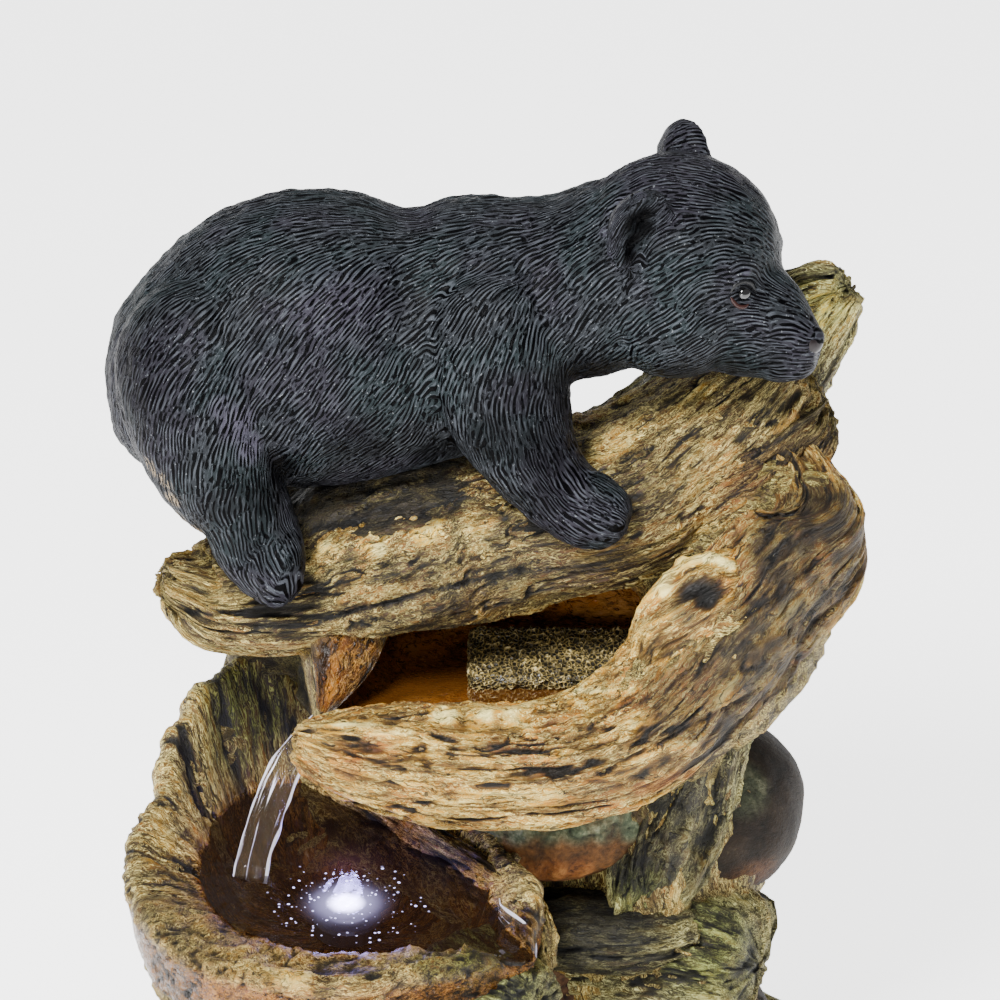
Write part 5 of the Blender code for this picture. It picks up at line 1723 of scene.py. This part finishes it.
def pool(name, centre, radius, height, material, rings=24, sides=120, lift=0.0):
    """A water surface out to a radius that depends on the angle, with low ripples."""
    angle = np.linspace(0, TAU, sides, endpoint=False)
    edge = radius(angle)
    points = [(centre[0], centre[1], height)]
    for ring in range(1, rings + 1):
        share = ring / rings
        x = centre[0] + edge * share * np.cos(angle)
        y = centre[1] + edge * share * np.sin(angle)
        ripple = 0.0004 * np.sin(np.hypot(x - centre[0] + 0.045, y - centre[1]) * 900) * (1 - share * 0.6)
        points.extend(zip(x, y, height + ripple + lift * share ** 6))
    faces = [(0, 1 + side, 1 + (side + 1) % sides) for side in range(sides)]
    for ring in range(rings - 1):
        base = 1 + ring * sides
        for side in range(sides):
            after = (side + 1) % sides
            faces.append((base + side, base + sides + side, base + sides + after, base + after))
    made = new_mesh_object(name, np.array(points), faces)
    return finish_piece(made, material)


def stream(name, stations, material, seed, strands=7, sides=60, spacing=0.0016):
    """A falling ribbon of water with cords along it; stations are (x, y, z, half width, half depth)."""
    rows, along = evenly(stations, spacing)
    tangent = unit(np.gradient(rows[:, :3], axis=0))
    across = unit(np.cross(tangent, FRONT))
    lift = unit(np.cross(across, tangent))
    angle = np.linspace(0, TAU, sides, endpoint=False)
    turn = np.tile(angle, (len(rows), 1))
    way = np.tile(along[:, None], (1, sides))
    place = np.stack((np.cos(turn) * 2.2, np.sin(turn) * 2.2, way / 0.022), axis=-1).reshape(-1, 3)
    cords = (np.sin(turn * strands + lattice_noise(place, seed).reshape(turn.shape) * 5) * 0.18
             + lattice_noise(place * (1, 1, 1.6), seed + 5).reshape(turn.shape) * 0.5)
    swell = 1 + cords
    grid = (
        rows[:, None, :3]
        + across[:, None, :] * (np.cos(turn) * rows[:, 3:4] * (1 + cords * 0.25))[..., None]
        + lift[:, None, :] * (np.sin(turn) * rows[:, 4:5] * swell)[..., None]
    )
    flow = np.stack((turn, np.full_like(turn, seed), way), axis=-1).reshape(-1, 3)
    # how near each point is to the ribbon's sides, which get a painted highlight
    edge = np.abs(np.cos(turn)).ravel()
    made = new_mesh_object(name, grid.reshape(-1, 3), grid_faces(len(grid), sides), flow=flow, edge=edge)
    return finish_piece(made, material)


def clear_water_material():
    """Falling water: see-through, with painted highlights and a painted violet glow on its cords and sides.
    """
    g = Graph("falling water")
    flow = g.attribute("flow").outputs["Vector"]
    edge = g.attribute("edge").outputs["Fac"]
    cords = g.noise(g.vector("MULTIPLY", flow, (1.9, 1.0, 9.0)), 1.7, 3.0, 0.6, 0.5)
    # painted highlights and a painted violet glow on the cords and along the ribbon's sides
    light = g.maths("MAXIMUM", g.span(cords, 0.58, 0.68), g.span(edge, 0.90, 0.99, 0.0, 0.8))
    tone = g.mix(light, paint(104, 90, 70), paint(246, 244, 255))
    g.shader.inputs["IOR"].default_value = 1.33
    alpha = g.span(light, 0.0, 1.0, 0.12, 0.80)
    return g.finish(
        Base_Color=tone, Roughness=0.04, Alpha=alpha, Normal=g.bump(cords, 0.8, 0.002),
        Emission_Color=paint(220, 214, 255), Emission_Strength=g.maths("MULTIPLY", light, 0.35),
    )


# The pixel in the middle of the lamp's glow, which is painted into the bowl's water
GLOW_PIXEL = (346, 903)


def make_water():
    pool_water = water_material(
        "bowl water", paint(28, 16, 9), 0.70, 70.0, 0.03, 0.0012,
        glow=(at_height(*GLOW_PIXEL, BOWL_WATER), paint(200, 196, 255), 0.030),
    )
    pool("bowl_water", BOWL_CENTRE, lambda angle: bowl_column(1, angle) - 0.0005, BOWL_WATER, pool_water)
    dark_water = water_material("trough water", paint(120, 72, 26), 0.30, 60.0)
    trough_turns = [turn for turn, _ in TROUGH_PLAN] + [360]
    trough_radii = [radius for _, radius in TROUGH_PLAN] + [TROUGH_PLAN[0][1]]
    pool(
        "trough_water", TROUGH_CENTRE,
        lambda angle: np.interp(np.degrees(angle), trough_turns, trough_radii) * 0.985, TROUGH_WATER,
        dark_water,
    )
    pool(
        "ledge_water", LEDGE_CENTRE, lambda angle: 0.026 - 0.008 * np.abs(np.sin(angle)), LEDGE_TOP - 0.003,
        water_material("ledge water", paint(40, 34, 60), 0.55, 120.0), rings=16, sides=80,
    )
    pool(
        "basin_water", BASIN_CENTRE, lambda angle: np.hypot(0.172 * np.cos(angle), 0.138 * np.sin(angle)),
        BASIN_WATER,
        water_material("basin water", paint(34, 28, 20), 0.55, 40.0),
    )
    falling = clear_water_material()
    stream(
        "main_stream",
        [
            (*at_height(316, 722, 0.276), 0.0045, 0.0016),
            (*at_height(303, 738, 0.272), 0.0055, 0.0020),
            (*at_height(287, 765, 0.258), 0.0078, 0.0026),
            (*at_height(270, 805, 0.238), 0.0088, 0.0028),
            (*at_height(256, 850, 0.216), 0.0080, 0.0026),
            (*at_height(249, 880, 0.204), 0.0085, 0.0030),
        ],
        falling, 3,
    )
    stream(
        "spout_fall",
        [
            (*at_height(500, 920, 0.204), 0.012, 0.0012),
            (*at_height(516, 940, 0.203), 0.0095, 0.0016),
            (*at_height(522, 962, 0.190), 0.0070, 0.0020),
            (*at_height(526, 995, 0.165), 0.0065, 0.0022),
            (*at_height(530, 1050, 0.120), 0.0070, 0.0024),
            (*at_height(533, 1150, 0.042), 0.0085, 0.0028),
        ],
        falling, 8,
    )


def make_foam():
    """Open-cell filter foam: a soft block whose skin is torn into cells."""
    g = Graph("foam cells")
    place = g.attribute("grain").outputs["Vector"]
    relief = g.attribute("relief").outputs["Fac"]
    cells = g.add("TexVoronoi", {"Vector": place, "Scale": 420.0}, feature="DISTANCE_TO_EDGE")
    walls = g.span(cells.outputs["Distance"], 0.02, 0.22, 1.0, 0.0)
    blotch = g.noise(place, 70.0, 3.0, 0.6)
    value = g.maths("MULTIPLY_ADD", walls, 0.45, g.maths("MULTIPLY_ADD", relief, 0.6, -0.12), clamp=True)
    colour = g.ramp(value, [
        (0.10, paint(26, 22, 12)), (0.40, paint(100, 86, 46)), (0.70, paint(186, 162, 98)),
        (0.95, paint(244, 230, 176)),
    ])
    colour = g.mix(g.span(blotch, 0.45, 0.6, 0.0, 0.5), colour, paint(34, 30, 20))
    material = g.finish(
        Base_Color=colour, Roughness=0.42, Normal=g.bump(walls, 0.8, 0.0015), Specular_IOR_Level=0.5,
    )
    low, high = (np.array(corner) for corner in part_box("splash_foam"))
    builder = bmesh.new()
    builder.from_mesh(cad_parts["splash_foam"].data)
    bmesh.ops.remove_doubles(builder, verts=builder.verts, dist=0.00002)
    points, normals, faces = fine_skin(builder, "foam draft", FOAM_VOXEL)
    cellular = lattice_noise(points / (2.1 * MM), 41)
    torn = layered_noise(points / (7 * MM), 43, 2)
    depth = (1.5 * np.abs(cellular) * 1.6 - 1.9 + 0.8 * torn) * MM
    moved = np.clip(points + normals * depth[:, None], low, high)
    value = np.clip(np.abs(cellular) * 1.5 + 0.2 * torn, 0, 1)
    made = new_mesh_object("foam_pad", moved, faces, grain=points, relief=value)
    finish_piece(made, material, "splash_foam")


def dress_lamp():
    """The lamp keeps its CAD shape: a grey puck with a lit lens."""
    g = Graph("lit lamp")
    place = g.add("TexCoord").outputs["Object"]
    grit = g.noise(place, 900.0, 2.0, 0.5)
    offset = g.vector("SUBTRACT", place, (*LAMP_PLACE[:2], BOWL_FLOOR + 0.015))
    away = g.add("VectorMath", operation="LENGTH")
    g.put(away.inputs[0], offset)
    lit = g.span(away.outputs["Value"], 0.004, 0.012, 1.0, 0.0)
    tone = g.mix(grit, paint(60, 60, 66), paint(92, 92, 98))
    tone = g.mix(lit, tone, paint(240, 240, 255))
    material = g.finish(
        Base_Color=tone, Roughness=0.3, Emission_Color=paint(214, 212, 255),
        Emission_Strength=g.maths("MULTIPLY", lit, 20.0),
    )
    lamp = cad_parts["bowl_lamp"]
    lamp.data.materials.clear()
    lamp.data.materials.append(material)
    for face in lamp.data.polygons:
        face.material_index = 0


# Stage

def make_floor():
    g = Graph("pale floor")
    place = g.add("TexCoord").outputs["Object"]
    tone = g.mix(g.noise(place, 3.0, 3.0, 0.5), paint(244, 244, 244), paint(250, 250, 250))
    material = g.finish(
        Base_Color=tone, Roughness=0.9, Emission_Color=paint(255, 255, 255), Emission_Strength=2.8,
    )
    half = 14.0
    below = -0.0005
    mesh = bpy.data.meshes.new("floor")
    corners = [(-half, -half, below), (half, -half, below), (half, half, below), (-half, half, below)]
    mesh.from_pydata(corners, [], [(0, 1, 2, 3)])
    mesh.materials.append(material)
    floor = bpy.data.objects.new("floor", mesh)
    bpy.context.scene.collection.objects.link(floor)


def add_area(name, place, target, size, power, colour=(1.0, 1.0, 1.0)):
    data = bpy.data.lights.new(name, "AREA")
    data.size = size
    data.energy = power
    data.color = colour
    light = bpy.data.objects.new(name, data)
    light.location = place
    light.rotation_euler = (Vector(target) - Vector(place)).to_track_quat("-Z", "Y").to_euler()
    bpy.context.scene.collection.objects.link(light)


def make_lights():
    world = bpy.data.worlds.new("studio")
    world.use_nodes = True
    background = world.node_tree.nodes["Background"]
    background.inputs["Color"].default_value = (1.0, 1.0, 1.0, 1.0)
    background.inputs["Strength"].default_value = 0.40
    bpy.context.scene.world = world
    middle = (0, 0, 0.35)
    add_area("key", (-0.55, -1.1, 1.9), middle, 0.5, 88)
    add_area("fill", (-0.5, -1.9, 0.62), (0, 0, 0.3), 0.7, 15)
    add_area("rim", (0.3, 1.3, 1.9), middle, 0.8, 9)
    data = bpy.data.lights.new("bowl glow", "POINT")
    data.energy = 0.16
    data.color = paint(170, 160, 255)
    data.shadow_soft_size = 0.008
    glow = bpy.data.objects.new("bowl glow", data)
    glow.location = (*LAMP_PLACE[:2], BOWL_WATER + 0.012)
    bpy.context.scene.collection.objects.link(glow)


def make_camera():
    data = bpy.data.cameras.new("camera")
    data.lens = VIEW_LENS
    data.sensor_width = VIEW_SENSOR
    camera = bpy.data.objects.new("camera", data)
    camera.location = view_frame()[0]
    camera.rotation_euler = (math.pi / 2 - VIEW_ELEVATION, 0, 0)
    bpy.context.scene.collection.objects.link(camera)
    bpy.context.scene.camera = camera


def main():
    make_camera()
    brown, grey = make_logs()
    make_bowl_parts(brown, grey)
    dark = make_stones()
    make_basin(brown, grey, dark)
    build_core(brown)
    make_face(make_bear())
    make_foam()
    dress_lamp()
    make_water()
    make_floor()
    make_lights()


main()
